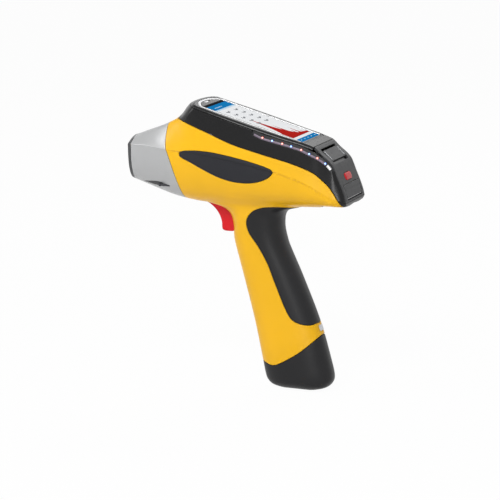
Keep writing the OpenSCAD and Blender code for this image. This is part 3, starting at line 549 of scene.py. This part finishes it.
def shell(p, s):
    """One shell half: all that the nose, housing, pads, battery and openings leave over."""
    g = both(-nose(p) + GAP, waist(p) + GAP, -leaf(p) + GAP, -base(p) + GAP, r=.6)
    g = both(g, -rubber(p) + GAP, -slot(p), -oval_pad(p) + GAP, -latch_hole(p), r=.4)
    g = np.maximum(g, -holes(p))
    return rmax(g, -s * p[..., 1] + SPLIT, .2)


def housing(p):
    """The display housing, above the waist and in front of the rear panel."""
    g = both(-waist(p) + GAP, screen_z(p) - HOUSING_TOP, -panel(p) + GAP, 56.7 - p[..., 0], r=.6)
    return both(g, -light(p), r=.3)


def bezel(p):
    """The collar round the display's frame."""
    inside_rim = -np.maximum(rim_line(local(SCREEN, p)[..., :2]), -screen_z(p) - 12)
    return both(BEZEL_FOOT - screen_z(p), -light(p), p[..., 0] - PANEL_X + GAP, inside_rim, r=.5)


# ---------- materials ----------


def finish(name, colour, rough=.45, metal=0., spec=.5, coat=0., grain=(900, .12), tint=.05, spread=.06,
           tint_scale=18, glow=None, stretch=None):
    """A moulded or machined finish: slight colour and gloss variation and a fine grain."""
    m = bpy.data.materials.new(name)
    m.use_nodes = True
    nt = m.node_tree
    b = nt.nodes["Principled BSDF"]
    put = b.inputs
    put["Metallic"].default_value = metal
    put["Specular IOR Level"].default_value = spec
    put["Coat Weight"].default_value = coat
    put["Coat Roughness"].default_value = .08
    if glow:
        put["Emission Color"].default_value = (*colour, 1)
        put["Emission Strength"].default_value = glow
    where = nt.nodes.new("ShaderNodeTexCoord").outputs["Object"]
    if stretch:
        warp = nt.nodes.new("ShaderNodeMapping")
        warp.inputs["Scale"].default_value = stretch
        nt.links.new(where, warp.inputs["Vector"])
        where = warp.outputs["Vector"]

    def noise(scale, detail=3):
        n = nt.nodes.new("ShaderNodeTexNoise")
        n.inputs["Scale"].default_value = scale
        n.inputs["Detail"].default_value = detail
        nt.links.new(where, n.inputs["Vector"])
        return n.outputs["Fac"]

    mix = nt.nodes.new("ShaderNodeValToRGB")
    mix.color_ramp.elements[0].position, mix.color_ramp.elements[1].position = .3, .7
    mix.color_ramp.elements[0].color = (*[c * (1 - tint) for c in colour], 1)
    mix.color_ramp.elements[1].color = (*[min(1, c * (1 + tint)) for c in colour], 1)
    nt.links.new(noise(tint_scale), mix.inputs["Fac"])
    nt.links.new(mix.outputs["Color"], put["Base Color"])
    gloss = nt.nodes.new("ShaderNodeMapRange")
    gloss.inputs["To Min"].default_value = max(.02, rough - spread)
    gloss.inputs["To Max"].default_value = min(1, rough + spread)
    nt.links.new(noise(grain[0] / 6), gloss.inputs["Value"])
    nt.links.new(gloss.outputs["Result"], put["Roughness"])
    bump = nt.nodes.new("ShaderNodeBump")
    bump.inputs["Strength"].default_value = grain[1]
    bump.inputs["Distance"].default_value = .0002
    nt.links.new(noise(grain[0], 4), bump.inputs["Height"])
    nt.links.new(bump.outputs["Normal"], put["Normal"])
    return m


YELLOW = finish("yellow_moulding", (.93, .5, .006), .36, spec=.3, coat=.06, grain=(700, .06), tint=.03)
SILVER = finish("silver_paint", (.46, .465, .47), .36, .45, grain=(1400, .1), tint=.03)
CHROME = finish("dark_chrome", (.09, .092, .095), .2, .9, grain=(500, .03), coat=.3)
BLACK = finish("black_gloss", (.006, .006, .0065), .25, spec=.2, coat=.1, grain=(900, .05), tint=.12)
PAD = finish("pad_rubber", (.022, .0225, .027), .5, grain=(1300, .25), tint=.08, spec=.2)
RUBBER = finish("grip_rubber", (.009, .009, .0102), .4, grain=(1500, .3), tint=.12, spec=.3)
PANEL = finish("textured_panel", (.045, .046, .048), .48, spec=.3, grain=(1100, .8), tint=.14, spread=.1)
BEZEL = finish("bezel_silver", (.74, .745, .755), .25, .35, grain=(1500, .05), coat=.3, tint=.02)
GLASS = finish("display_glass", (.006, .0065, .008), .06, spec=.3, coat=.2, grain=(200, .01), tint=.05)
RED = finish("trigger_red", (.7, .006, .013), .32, spec=.25, coat=.12, grain=(900, .06), tint=.06)
DARK = finish("dark_moulding", (.02, .02, .022), .5, grain=(1100, .3), tint=.15)
# Near black: the side light groove's own black plastic, and painted shade on the floors of the nose pockets
# and of the latch and hinge bays.
BLACK_AND_PAINTED_SHADE = finish("groove_black_and_painted_shade", (.004, .004, .005), .4, grain=(900, .1), tint=.1)
STEEL = finish("brushed_steel", (.56, .56, .57), .3, 1., grain=(1800, .25), stretch=(1, 12, 1))
LATCH_STEEL = finish("latch_steel", (.5, .51, .53), .28, 1., grain=(1500, .2), stretch=(12, 1, 1))
# The light pipe's lilac colour is painted light: the red and blue lamps' glow in the strip, painted into its
# colour.
PIPE_PAINTED_GLOW = finish("light_pipe", (.24, .19, .25), .2, spec=.3, grain=(600, .08), tint=.12, tint_scale=60)
LED_RED = finish("led_red", (.85, .03, .03), .2, spec=.3, grain=(500, .03), glow=.6)
LED_BLUE = finish("led_blue", (.03, .16, .9), .2, spec=.3, grain=(500, .03), glow=.6)
CORE_RED = finish("led_red_core", (1, .55, .45), .2, grain=(500, .03), glow=1.)
CORE_BLUE = finish("led_blue_core", (.5, .75, 1), .2, grain=(500, .03), glow=1.)
OTHERS = {
    "window_film": finish("film_amber", (.55, .27, .05), .2, .3, grain=(400, .1)),
    "front_plate": CHROME, "chassis": finish("aluminium", (.6, .61, .62), .38, .9, grain=(1200, .2)),
    "measuring_block": finish("cast_aluminium", (.52, .53, .54), .45, .85, grain=(1600, .3)),
    "xray_tube": STEEL, "detector": STEEL, "processor_cover": STEEL, "trigger_pin": STEEL,
    "port_cover_pin": STEEL, "shell_screws": STEEL, "trigger_spring": STEEL,
    "nose_screws": finish("blackened_steel", (.06, .06, .065), .4, .8, grain=(1500, .2)),
    "tube_boot": finish("boot_silicone", (.09, .03, .02), .6, grain=(900, .2)),
    "hv_supply": finish("potting_resin", (.03, .035, .05), .35, grain=(500, .15)),
    "preamp_board": finish("board_green", (.012, .11, .035), .35, coat=.3, grain=(2500, .3), tint=.2),
    "main_board": finish("board_green_main", (.012, .1, .035), .35, coat=.3, grain=(2200, .3), tint=.2),
    "filter_wheel": finish("brass", (.72, .47, .16), .28, 1., grain=(1500, .15)),
    "filter_pinion": finish("brass_pinion", (.7, .45, .15), .3, 1., grain=(1500, .15)),
    "filter_motor": finish("motor_can", (.4, .41, .42), .3, 1., grain=(1500, .2), stretch=(1, 1, 10)),
    "trigger_switch": DARK, "power_switch": DARK, "data_ports": DARK, "speaker": DARK,
    "battery_contacts": finish("contact_gold", (.75, .55, .2), .25, 1., grain=(900, .1)),
    "battery_case": DARK, "lcd_panel": finish("lcd_back", (.09, .1, .11), .4, grain=(900, .1)),
    "battery_cells": finish("cell_wrap", (.02, .16, .2), .3, coat=.4, grain=(500, .08)),
}
for node_name, material in OTHERS.items():
    mesh = NODES[node_name].data
    mesh.materials.clear()
    mesh.materials.append(material)

# ---------- pieces ----------


def piece(name, points, faces, normals, material, body, nodes=(), sharp=None):
    """A named mesh that rides on a body and stands for these CAD nodes."""
    me = bpy.data.meshes.new(name)
    me.from_pydata((np.asarray(points) * MM).tolist(), [], [list(map(int, f)) for f in faces])
    materials = material if isinstance(material, (list, tuple)) else [material]
    for m in materials:
        me.materials.append(m)
    me.shade_smooth()
    if sharp is not None:
        me.set_sharp_from_angle(angle=math.radians(sharp))
    elif normals is not None:
        me.normals_split_custom_set_from_vertices(unit(np.asarray(normals)).tolist())
    o = bpy.data.objects.new(name, me)
    bpy.context.scene.collection.objects.link(o)
    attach(o, body)
    if nodes:
        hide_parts(*nodes)
    return o


def facet_skin(f, size, shift=(0, 0), z=0., h=1.):
    """A flat patch on a facet, its field pointing out of the facet."""
    nx, ny = [int(math.ceil(s / h)) for s in size]
    xs = np.linspace(-size[0] / 2, size[0] / 2, nx + 1) + shift[0]
    ys = np.linspace(-size[1] / 2, size[1] / 2, ny + 1) + shift[1]
    q = np.stack(np.meshgrid(xs, ys, indexing="ij"), -1).reshape(-1, 2)
    v = world(f, np.column_stack([q, np.full(len(q), z)]))
    i = (np.arange(nx)[:, None] * (ny + 1) + np.arange(ny)[None]).ravel()
    tris = np.vstack([np.stack([i, i + ny + 1, i + ny + 2], 1), np.stack([i, i + ny + 2, i + 1], 1)])
    return Skin(None, v, tris, f[0][:, 2])


def flat_part(name, f, size, g, z, material, body, nodes=(), shift=(0, 0), h=1., edge=.6,
              depth=2., crown=0., pull=.3):
    """A plate on a facet: outline g in the facet's own x, y; crowned by some tenths if asked."""
    skin = facet_skin(f, size, shift, z, h)
    p, faces, n = region(skin, lambda v: g(local(f, v)[..., :2]), edge, depth, pull=pull)
    if crown:
        q = local(f, p)
        a = (q[:, :2] - np.array(shift)) / (np.array(size) / 2)
        lift = crown * np.clip(1 - a[:, 0]**2, 0, 1) * np.clip(1 - a[:, 1]**4, 0, 1)
        top = q[:, 2] > z - edge
        p = p + np.where(top, lift, 0)[:, None] * f[0][:, 2]
    return piece(name, p, faces, None if crown else n, material, body, nodes,
                 sharp=50 if crown else None)


def slab(name, outline, y, edge, material, body, nodes=()):
    """A side-view outline across the width from -y to y with rounded edges."""
    a = np.array(outline, float)
    t = unit(np.roll(a, -1, 0) - np.roll(a, 1, 0))
    n = np.column_stack([t[:, 1], -t[:, 0]])
    area = (a[:, 0] * np.roll(a[:, 1], -1) - a[:, 1] * np.roll(a[:, 0], -1)).sum()
    if area < 0:
        n = -n
    rows = [(-(y - edge * (1 - math.sin(d))), edge * (1 - math.cos(d))) for d in np.radians([90, 60, 30, 0])]
    rows = rows + [(-r, inset) for r, inset in rows[::-1]]
    pts, faces = [], []
    k = len(a)
    for yy, inset in rows:
        q = a - n * inset
        pts.append(np.column_stack([q[:, 0], np.full(k, yy), q[:, 1]]))
    for r in range(len(rows) - 1):
        for i in range(k):
            j = (i + 1) % k
            faces.append((r * k + i, r * k + j, (r + 1) * k + j, (r + 1) * k + i))
    for r in (0, len(rows) - 1):
        ring = [Vector(p) for p in pts[r]]
        for f in tessellate_polygon([ring]):
            faces.append(tuple(r * k + i for i in (f if r else f[::-1])))
    if area > 0:
        faces = [f[::-1] for f in faces]
    return piece(name, np.vstack(pts), faces, None, material, body, nodes, sharp=38)


pitch = 1.7
verts, quads = net(form, (-4.3, -48 - pitch / 2, -251), (264, 48 + pitch / 2, 73), pitch)
verts = relax(form, settle(form, verts, 3), quads, 3)
skin = Skin(form, verts, np.vstack([quads[:, [0, 1, 2]], quads[:, [0, 2, 3]]]))


def near(*spans):
    """The part of the skin with triangles inside these x, y, z limits, for speed."""
    c = skin.v[skin.tris].mean(1)
    ok = np.ones(len(c), bool)
    for axis, low, high in spans:
        ok &= (c[:, axis] > low) & (c[:, axis] < high)
    used, tris = np.unique(skin.tris[ok], return_inverse=True)
    return Skin(form, skin.v[used], tris.reshape(-1, 3))


def finer(part):
    """The same skin with each triangle split in four."""
    t = part.tris
    e = np.sort(np.vstack([t[:, [0, 1]], t[:, [1, 2]], t[:, [2, 0]]]), 1)
    key, back = np.unique(e, axis=0, return_inverse=True)
    a, b, c = len(part.v) + back.reshape(3, -1)
    v = np.vstack([part.v, part.hold(part.v[key].mean(1))])
    t0, t1, t2 = t.T
    return Skin(part.field, v, np.vstack([np.column_stack(k) for k in (
        (t0, a, c), (a, t1, b), (c, b, t2), (a, b, c))]))


def moulding(name, part, g, material, body, slot_name, nodes=(), **more):
    """A piece cut from the skin where g < 0."""
    p, f, n = region(part, g, **more)
    return piece(name, p, f, n, material, body, nodes)


def ribbon(name, s, path, profile, material, nodes=()):
    """A strip along a side-view path on one side of the body; profile: [across, lift] points."""
    t = unit(np.gradient(path, axis=0))
    k, m = len(path), len(profile)
    q = path[:, None] + np.column_stack([-t[:, 1], t[:, 0]])[:, None] * np.array(profile)[None, :, :1]
    p = np.column_stack([q[..., 0].ravel(), np.full(k * m, s * 34.), q[..., 1].ravel()])
    for _ in range(12):
        g = gradient(form, p)
        p[:, 1] -= np.clip(form(p) / np.where(np.abs(g[:, 1]) < .2, s * .2, g[:, 1]), -3, 3)
    p += unit(gradient(form, p)) * np.tile(np.array(profile)[:, 1], k)[:, None]
    faces = [(a * m + b, a * m + m + b, a * m + m + b + 1, a * m + b + 1)
             for a in range(k - 1) for b in range(m - 1)]
    faces += [tuple(range(m)), tuple((k - 1) * m + b for b in range(m))[::-1]]
    piece(name, p, [f[::s * -1] for f in faces], None, material, "housing", nodes, sharp=60)


# Section of the side lights: across the light line, and out of the skin.
LENS = [[-1, -1.7], [-1, -.75], [-.75, -.5], [-.3, -.42], [.3, -.42], [.75, -.5], [1, -.75], [1, -1.7]]


def light_part(name, s, start, end, reach, out, lift, material, nodes=()):
    """A lens along the side light line from x = start to x = end, LENS scaled by reach and moved."""
    a, b = [int(np.searchsorted(light_path[:, 0], x)) for x in (start, end)]
    ribbon(name, s, light_path[a:b], [[c * reach + out, h + lift] for c, h in LENS], material,
           nodes)


# The two shell halves with their pads and side lights.
for s, nm in ((-1, "left"), (1, "right")):
    lo, hi = (-60, 3) if s < 0 else (-3, 60)
    moulding(nm + "_shell_visual", near((0, 40, 262), (1, lo, hi)), lambda p, s=s: shell(p, s), YELLOW,
             "housing", "yellow_plastic", [nm + "_shell"], depth=2.1)
    moulding(nm + "_leaf_pad", near((0, 60, 190), (1, lo, hi), (2, -30, 30)), leaf, PAD, "housing",
             "black_rubber", [nm + "_side_pad"], edge=1.1, depth=1., lift=.45)
    moulding(nm + "_light_groove", near((0, 150, 252), (1, lo, hi), (2, -5, 50)),
             lambda p: light(p) - .2, BLACK_AND_PAINTED_SHADE, "housing", "black_plastic", edge=.1, depth=.2, lift=-1.5)
    light_part(nm + "_light_strip", s, 156, 238, 1.15, -.9, 0, PIPE_PAINTED_GLOW, [nm + "_light_pipe"])
    # The lens's lower end in pale silver: the end piece is real, its pale silver colour is a painted glint.
    light_part(nm + "_light_end_glint", s, 238.8, 243.6, 1.6, -.1, .2, BEZEL)

# The nose, the display housing, the bezel and what lies round the pane.
moulding("nose_cone_visual", finer(near((0, -1, 92))),
         lambda p: np.maximum(both(nose(p) + GAP, 4 + GAP - p[..., 0], r=.5), -nose_pocket(p)), SILVER,
         "housing", "silver_nose", ["nose_cone"], edge=.45, depth=2.2)
# A near black sheet at the bottom of each teardrop pocket: painted shade in the silver nose's hollow.
moulding("nose_recess_painted_shade", finer(near((0, 10, 60), (2, -40, -10))), lambda p: nose_pocket(p) - .6,
         BLACK_AND_PAINTED_SHADE, "housing", "silver_nose", edge=.2, depth=.2, lift=-.75)
moulding("display_housing_visual", near((0, 54, 262), (2, -40, 72)), housing, BLACK, "housing",
         "black_plastic", ["top_housing"])
moulding("display_bezel_visual", near((0, 60, 226), (2, 20, 72)), bezel, BLACK, "housing", "black_plastic",
         ["display_bezel"], depth=1.7)
flat_part("display_frame", SCREEN, (146, 68),
          lambda q: most(rim_line(q) + .15, -rim_line(q) - 3.3, -pane(q), q[..., 0] - FRAME_END),
          -.05, BEZEL, "housing", shift=(70, 0), edge=.5, depth=1.7)
flat_part("display_frame_rear", SCREEN, (12, 68),
          lambda q: most(rim_line(q) + .15, -pane(q), FRAME_END + .3 - q[..., 0]),
          -.05, PANEL, "housing", shift=(136, 0), edge=.4, depth=1.7)
flat_part("display_fascia", SCREEN, (24, 62),
          lambda q: most(rim_line(q) + 3.5, -pane(q), -ear_slot(q), q[..., 0] - FASCIA_END),
          -.15, BLACK, "housing", shift=(10, 0), h=.8, edge=.4, depth=1.7)
flat_part("ear_slot_floor", SCREEN, (4, 15), lambda q: plate_sd(q - EAR_AT, (1.8, 7.2), EAR_ROUND), -.8,
          STEEL, "housing", shift=EAR_AT, h=.8, edge=.2, depth=.5)

# The rubber on the handle, the foot of the battery and the pad under the belly.
moulding("grip_rubber_visual", near((0, 130, 245), (2, -180, -36)), rubber, RUBBER, "housing", "black_rubber",
         ["grip_rubber"], edge=.7, depth=1.6)
moulding("battery_base_visual", near((0, 130, 240), (2, -252, -165)), lambda p: base(p) + GAP, RUBBER,
         "battery", "black_rubber", ["battery_base"], edge=.7, depth=1.8)
moulding("underside_pad_visual", near((0, 205, 250), (2, -45, -28)), oval_pad, PAD, "housing", "black_rubber",
         ["underside_pad"], edge=.6, depth=1., lift=.35)

# Rear panel with its openings, the latch, the power button and the port cover.
moulding("rear_panel_visual", near((0, 215, 262), (1, -36, 36), (2, -40, 40)),
         lambda p: np.maximum(panel(p), -openings(p)), PANEL, "housing", "grey_plastic", ["rear_panel"],
         depth=1.8)
flat_part("display_latch_visual", UPPER, (18, 46), lambda q: plate_sd(q, (7.5, 21), 1.2),
          0, PANEL, "display_latch", ["display_latch"], h=.8, edge=.4, depth=1.1, pull=.25)
for rib, y in (("a", -19.2), ("b", 19.2)):
    flat_part("latch_rib_" + rib, UPPER, (14, 2), lambda q, y=y: plate_sd(q - [0, y], (6.2, .35), .3), .3,
              LATCH_STEEL, "display_latch", shift=(0, y), h=.4, edge=.2, depth=.4, pull=.1)
# A near black sheet at the bottom of the latch bay: painted shade in the bay behind the latch.
flat_part("latch_bay_painted_shade", UPPER, (22, 44), lambda q: plate_sd(q - [1.5, 0], (9.2, 21.2), 1.2), -2.8,
          BLACK_AND_PAINTED_SHADE, "housing", shift=(1.5, 0), h=2, edge=.2, depth=.5)
flat_part("power_button_visual", BUTTON, (8, 18), lambda q: plate_sd(q, (4, 9), 3), .5, RED, "power_button",
          ["power_button"], h=.5, edge=.7, depth=3.4, crown=.5, pull=.2)
flat_part("port_cover_visual", COVER, (16, 46), lambda q: plate_sd(q + [.6, 0], (7.4, 23), 1.6), .4, PANEL,
          "port_cover", ["port_cover"], shift=(-.6, 0), edge=.6, depth=.7)
# A near black sheet at the bottom of the hinge bay: painted shade in the recess under the port cover's edge.
flat_part("hinge_bay_painted_shade", COVER, (8, 48), lambda q: plate_sd(q - [7.6, 0], (2.4, 23.2), 1), -3.2,
          BLACK_AND_PAINTED_SHADE, "housing", shift=(7.6, 0), edge=.2, depth=.3)

# Front plate: a polished ring round the measuring face.
ROUND = 120
angles = np.linspace(0, 2 * math.pi, ROUND, endpoint=False)
rays = np.column_stack([np.zeros(ROUND), np.cos(angles), np.sin(angles)])


def section(x, inset):
    """The body's outline at x, drawn in by inset."""
    r = np.full(ROUND, 20.)
    for _ in range(30):
        r = np.clip(r - body_field(rays * r[:, None] + [x, 0, 0]) * .7, 6, 60)
    return rays * (r - inset)[:, None] + [x, 0, 0]


# Each ring: place along X and inset; then the flat face in to the rim of the measuring window.
rings = [(3.9, .5), (3.6, .1), (3.2, 0), (1.4, 0), (1.2, .35), (1., .45), (.8, 0), (.5, .3), (.25, .7),
         (.12, 1.3)]
loops = [section(max(x, 1.2), i) * [0, 1, 1] + [x, 0, 0] for x, i in rings]
loops.append((loops[-1] * .72 + rays * 3) * [0, 1, 1] + [.12, 0, 0])
for r, x in ((12.4, .12), (12., .5), (9., .5), (8.6, .2), (8.1, .15), (8.05, .7)):
    loops.append(rays * r + [x, 0, 0])
ring_faces = [(a + i, a + (i + 1) % ROUND, a + ROUND + (i + 1) % ROUND, a + ROUND + i)
              for a in range(0, ROUND * (len(loops) - 1), ROUND) for i in range(ROUND)]
piece("front_plate_visual", np.vstack(loops), ring_faces, None, CHROME, "housing",
      ["front_plate"], sharp=28)

# Trigger, battery latch and LEDs.
pivot = np.array([.381 * L, -.15 * GD])
round_pivot = pivot + [[5, -4], [5, 1], [3.5, 4], [0, 5], [-3.5, 3.5], [-5.5, -1]]
blade = np.vstack([soft(np.array(BLADE) * [L, GD], 5), [[.47 * L, -.3 * GD], [.47 * L, -.24 * GD],
                   [.455 * L, pivot[1] - 8], [.455 * L, pivot[1] - 4]], round_pivot])
slab("trigger_visual", blade, TRIGGER_HALF, 1.3, RED, "trigger", ["trigger"])
flat_part("battery_latch_visual", LATCH_OUT, (10, 7), lambda q: plate_sd(q, (4.8, 3.3), .8), .35, LATCH_STEEL,
          "battery_latch", ["battery_latch"], h=.6, edge=.4, depth=4.5, pull=.2)


def light_spot(k, s):
    """A point of the side light line on the skin, and the skin's normal there."""
    x, z = LIGHTS[k]
    p = settle(form, np.array([[x, s * 36., z]]), 6)[0]
    for _ in range(3):
        p = settle(form, np.array([[x, p[1], z]]), 2)[0]
    return p, unit(gradient(form, p[None]))[0]


# A lens cap: height over the skin and radius of each row of points.
CAP = ((-.9, 1.25), (-.35, 1.2), (-.1, .9), (.02, .45))
SIDES = 14


def domes(name, which, materials, node):
    """Small lens caps over the side lights, brighter in the middle."""
    pts, faces = [], []
    for k in which:
        for s in (-1, 1):
            p, n = light_spot(k + 1, s)
            a = unit(np.cross(n, [0, 0, 1.]))
            b = np.cross(n, a)
            base = len(pts)
            for lift, r in CAP:
                for w in np.linspace(0, 2 * math.pi, SIDES, endpoint=False):
                    pts.append(p + n * lift + r * (a * math.cos(w) + b * math.sin(w)))
            for row in range(base, base + SIDES * (len(CAP) - 1), SIDES):
                for i in range(SIDES):
                    j = (i + 1) % SIDES
                    faces.append((row + i, row + j, row + SIDES + j, row + SIDES + i))
            faces.append(tuple(range(base + SIDES * (len(CAP) - 1), base + SIDES * len(CAP))))
    caps = piece(name, pts, faces, None, materials, "housing", [node], sharp=60)
    per_cap = SIDES * (len(CAP) - 1) + 1
    for i, poly in enumerate(caps.data.polygons):
        poly.material_index = int(i % per_cap >= SIDES * (len(CAP) - 2))


domes("red_side_lights", range(0, 8, 2), [LED_RED, CORE_RED], "red_leds")
domes("blue_side_lights", range(1, 8, 2), [LED_BLUE, CORE_BLUE], "blue_leds")

# What the display shows: generic bars, marks and a spectrum, a hair above the glass.
MATT = {"spec": 0, "grain": (300, .02)}
UI = {
    "head": finish("ui_blue", (.008, .2, .5), .5, glow=.15, **MATT),
    "mark": finish("ui_grey", (.14, .15, .17), .5, **MATT),
    "page": finish("ui_page", (.82, .835, .85), .5, glow=.2, tint=.02, **MATT),
    "pale": finish("ui_white", (.5, .68, .82), .5, glow=.2, **MATT),
    "peak": finish("ui_red", (.5, .02, .015), .5, glow=.06, **MATT),
    "bar": finish("ui_dark", (.02, .022, .025), .4, **MATT),
}
ui_pts, ui_faces, ui_mats = [], [], []


def shape(kind, corners, z=-.26):
    """A flat figure on the display, in one of the UI colours."""
    i = len(ui_pts)
    ui_pts.extend(world(SCREEN, np.array([[x, y, z] for x, y in corners])))
    ui_faces.append(tuple(range(i, i + len(corners))))
    ui_mats.append(list(UI).index(kind))


def block(kind, x, y, w, h, z=-.26):
    shape(kind, [(x + a * w / 2, y + b * h / 2) for a, b in ((-1, -1), (1, -1), (1, 1), (-1, 1))], z)


ACROSS = 52.4
block("page", 78.5, 0, 108, ACROSS, -.28)
block("bar", 16.5, 0, 4, ACROSS)
block("head", 24, 0, 11, ACROSS)
for k in range(5):
    block("pale", 25, -16 + 4 * k, 1.6, 2.2 + k % 2, -.22)
block("pale", 30.8, 0, 2.6, ACROSS)
for row in range(5):
    for y in (-13, 9):
        for part, wide in enumerate((1.6, 3.2, 1.8)):
            block("mark", 39 + row * 9.3 + part % 2, y + 3.4 * part - 3.4 + row % 2, 2.6, wide)
block("mark", 122.4, 0, .4, 50)
# The spectrum: one broad peak and four narrow ones, each given by place, height and width.
FOOT, STEPS = 122.2, 100
rng = np.random.default_rng(7)
ys = np.linspace(-25, 25, STEPS + 1)
heights = 3 + 54 * np.exp(-np.abs(ys + 13) / 6.5) + rng.uniform(0, 1.2, STEPS + 1)
for y0, h, w in ((-3.5, 17, 1.1), (3, 6, .9), (10, 15, 1.1), (16, 4, .8)):
    heights += h * np.exp(-((ys - y0) / w)**2)
for i in range(STEPS):
    shape("peak", [(FOOT, ys[i]), (FOOT, ys[i + 1]), (FOOT - heights[i + 1], ys[i + 1]),
                   (FOOT - heights[i], ys[i])])
block("head", 130.5, 0, 7, ACROSS)
for k in range(5):
    block("pale", 130.5, -20 + 10 * k, 1.2, 3, -.22)
picture = piece("screen_picture", ui_pts, ui_faces, None, list(UI.values()), "housing")
for poly, k in zip(picture.data.polygons, ui_mats):
    poly.material_index = k
flat_part("display_glass_visual", SCREEN, (124, 58),
          lambda q: plate_sd(q - PANE_AT, (PANE[0] - .2, PANE[1] - .2), PANE_ROUND), -.3, GLASS, "housing",
          ["display_glass"], shift=PANE_AT, h=3, edge=.25, depth=1.1, pull=.5)

# ---------- floor, light and camera ----------


def seen_white(nt):
    """1 for camera, glossy and transmission rays, which see the background as plain white."""
    ray, out = nt.nodes.new("ShaderNodeLightPath"), None
    for kind in ("Is Camera Ray", "Is Glossy Ray", "Is Transmission Ray"):
        most = nt.nodes.new("ShaderNodeMath")
        most.operation = "MAXIMUM"
        most.inputs[1].default_value = 0
        nt.links.new(ray.outputs[kind], most.inputs[0])
        if out:
            nt.links.new(out, most.inputs[1])
        out = most.outputs[0]
    return out


def backdrop(nt, output, kinds, share):
    """Shows the first shader, and in this share the second to the rays of seen_white."""
    nt.nodes.clear()
    out, mix = nt.nodes.new(output), nt.nodes.new("ShaderNodeMixShader")
    part = nt.nodes.new("ShaderNodeMath")
    part.operation = "MULTIPLY"
    part.inputs[1].default_value = share
    nt.links.new(seen_white(nt), part.inputs[0])
    nt.links.new(part.outputs[0], mix.inputs["Fac"])
    plain, white = [nt.nodes.new(kind) for kind in kinds]
    nt.links.new(plain.outputs[0], mix.inputs[1])
    nt.links.new(white.outputs[0], mix.inputs[2])
    nt.links.new(mix.outputs[0], out.inputs["Surface"])
    return plain, white


# The floor lies half a millimetre under the battery's foot.
reach, level = 4, -GD * MM - .0005
floor_mesh = bpy.data.meshes.new("floor")
floor_mesh.from_pydata([(a * reach, b * reach, level) for a, b in ((-1, -1), (1, -1), (1, 1), (-1, 1))], [],
                       [(0, 1, 2, 3)])
floor = bpy.data.objects.new("floor", floor_mesh)
bpy.context.scene.collection.objects.link(floor)
paint = bpy.data.materials.new("floor_pale")
paint.use_nodes = True
plain, white = backdrop(paint.node_tree, "ShaderNodeOutputMaterial",
                        ("ShaderNodeBsdfDiffuse", "ShaderNodeEmission"), .97)
plain.inputs["Color"].default_value = (.9, .9, .9, 1)
white.inputs["Strength"].default_value = 1
floor_mesh.materials.append(paint)

scene = bpy.context.scene
scene.view_settings.view_transform = "Standard"
sky = bpy.data.worlds.new("studio")
scene.world = sky
sky.use_nodes = True
plain, white = backdrop(sky.node_tree, "ShaderNodeOutputWorld", ["ShaderNodeBackground"] * 2, 1)
plain.inputs["Strength"].default_value = .2
for light_source in (plain, white):
    light_source.inputs["Color"].default_value = (1, 1, 1, 1)


def lamp(name, at, target, size, power):
    """A soft lamp aimed at a point."""
    data = bpy.data.lights.new(name, "AREA")
    data.shape = "RECTANGLE"
    data.size, data.size_y = size
    data.energy = power
    o = bpy.data.objects.new(name, data)
    o.location = at
    o.rotation_euler = (Vector(target) - Vector(at)).to_track_quat("-Z", "Y").to_euler()
    scene.collection.objects.link(o)


lamp("key", (.1, -1.3, 1.35), (.13, 0, -.04), (.8, .6), 19)
lamp("side", (.75, -1.9, .35), (.15, 0, -.1), (.35, .7), 7.5)
lamp("back", (.3, 1.5, 1.2), (.13, 0, 0), (1.4, .8), 10)
lamp("front", (-1.5, -.7, .7), (0, 0, 0), (.5, .8), 5)

# The camera looks at the side with negative Y and a little at the rear: 22 degrees round, 12 up.
LOOK_AT, DISTANCE = Vector((.137047, 0, -.096888)), 2.6451
around, above = math.radians(22), math.radians(12)
eye = bpy.data.cameras.new("camera")
eye.lens, eye.sensor_width = 172.8, 36
camera = bpy.data.objects.new("camera", eye)
scene.collection.objects.link(camera)
back = Vector((math.sin(around) * math.cos(above), -math.cos(around) * math.cos(above), math.sin(above)))
right = Vector((math.cos(around), math.sin(around), 0))
turn = Matrix((right, back.cross(right), back)).transposed().to_4x4()
camera.matrix_world = Matrix.Translation(LOOK_AT + DISTANCE * back) @ turn
scene.camera = camera
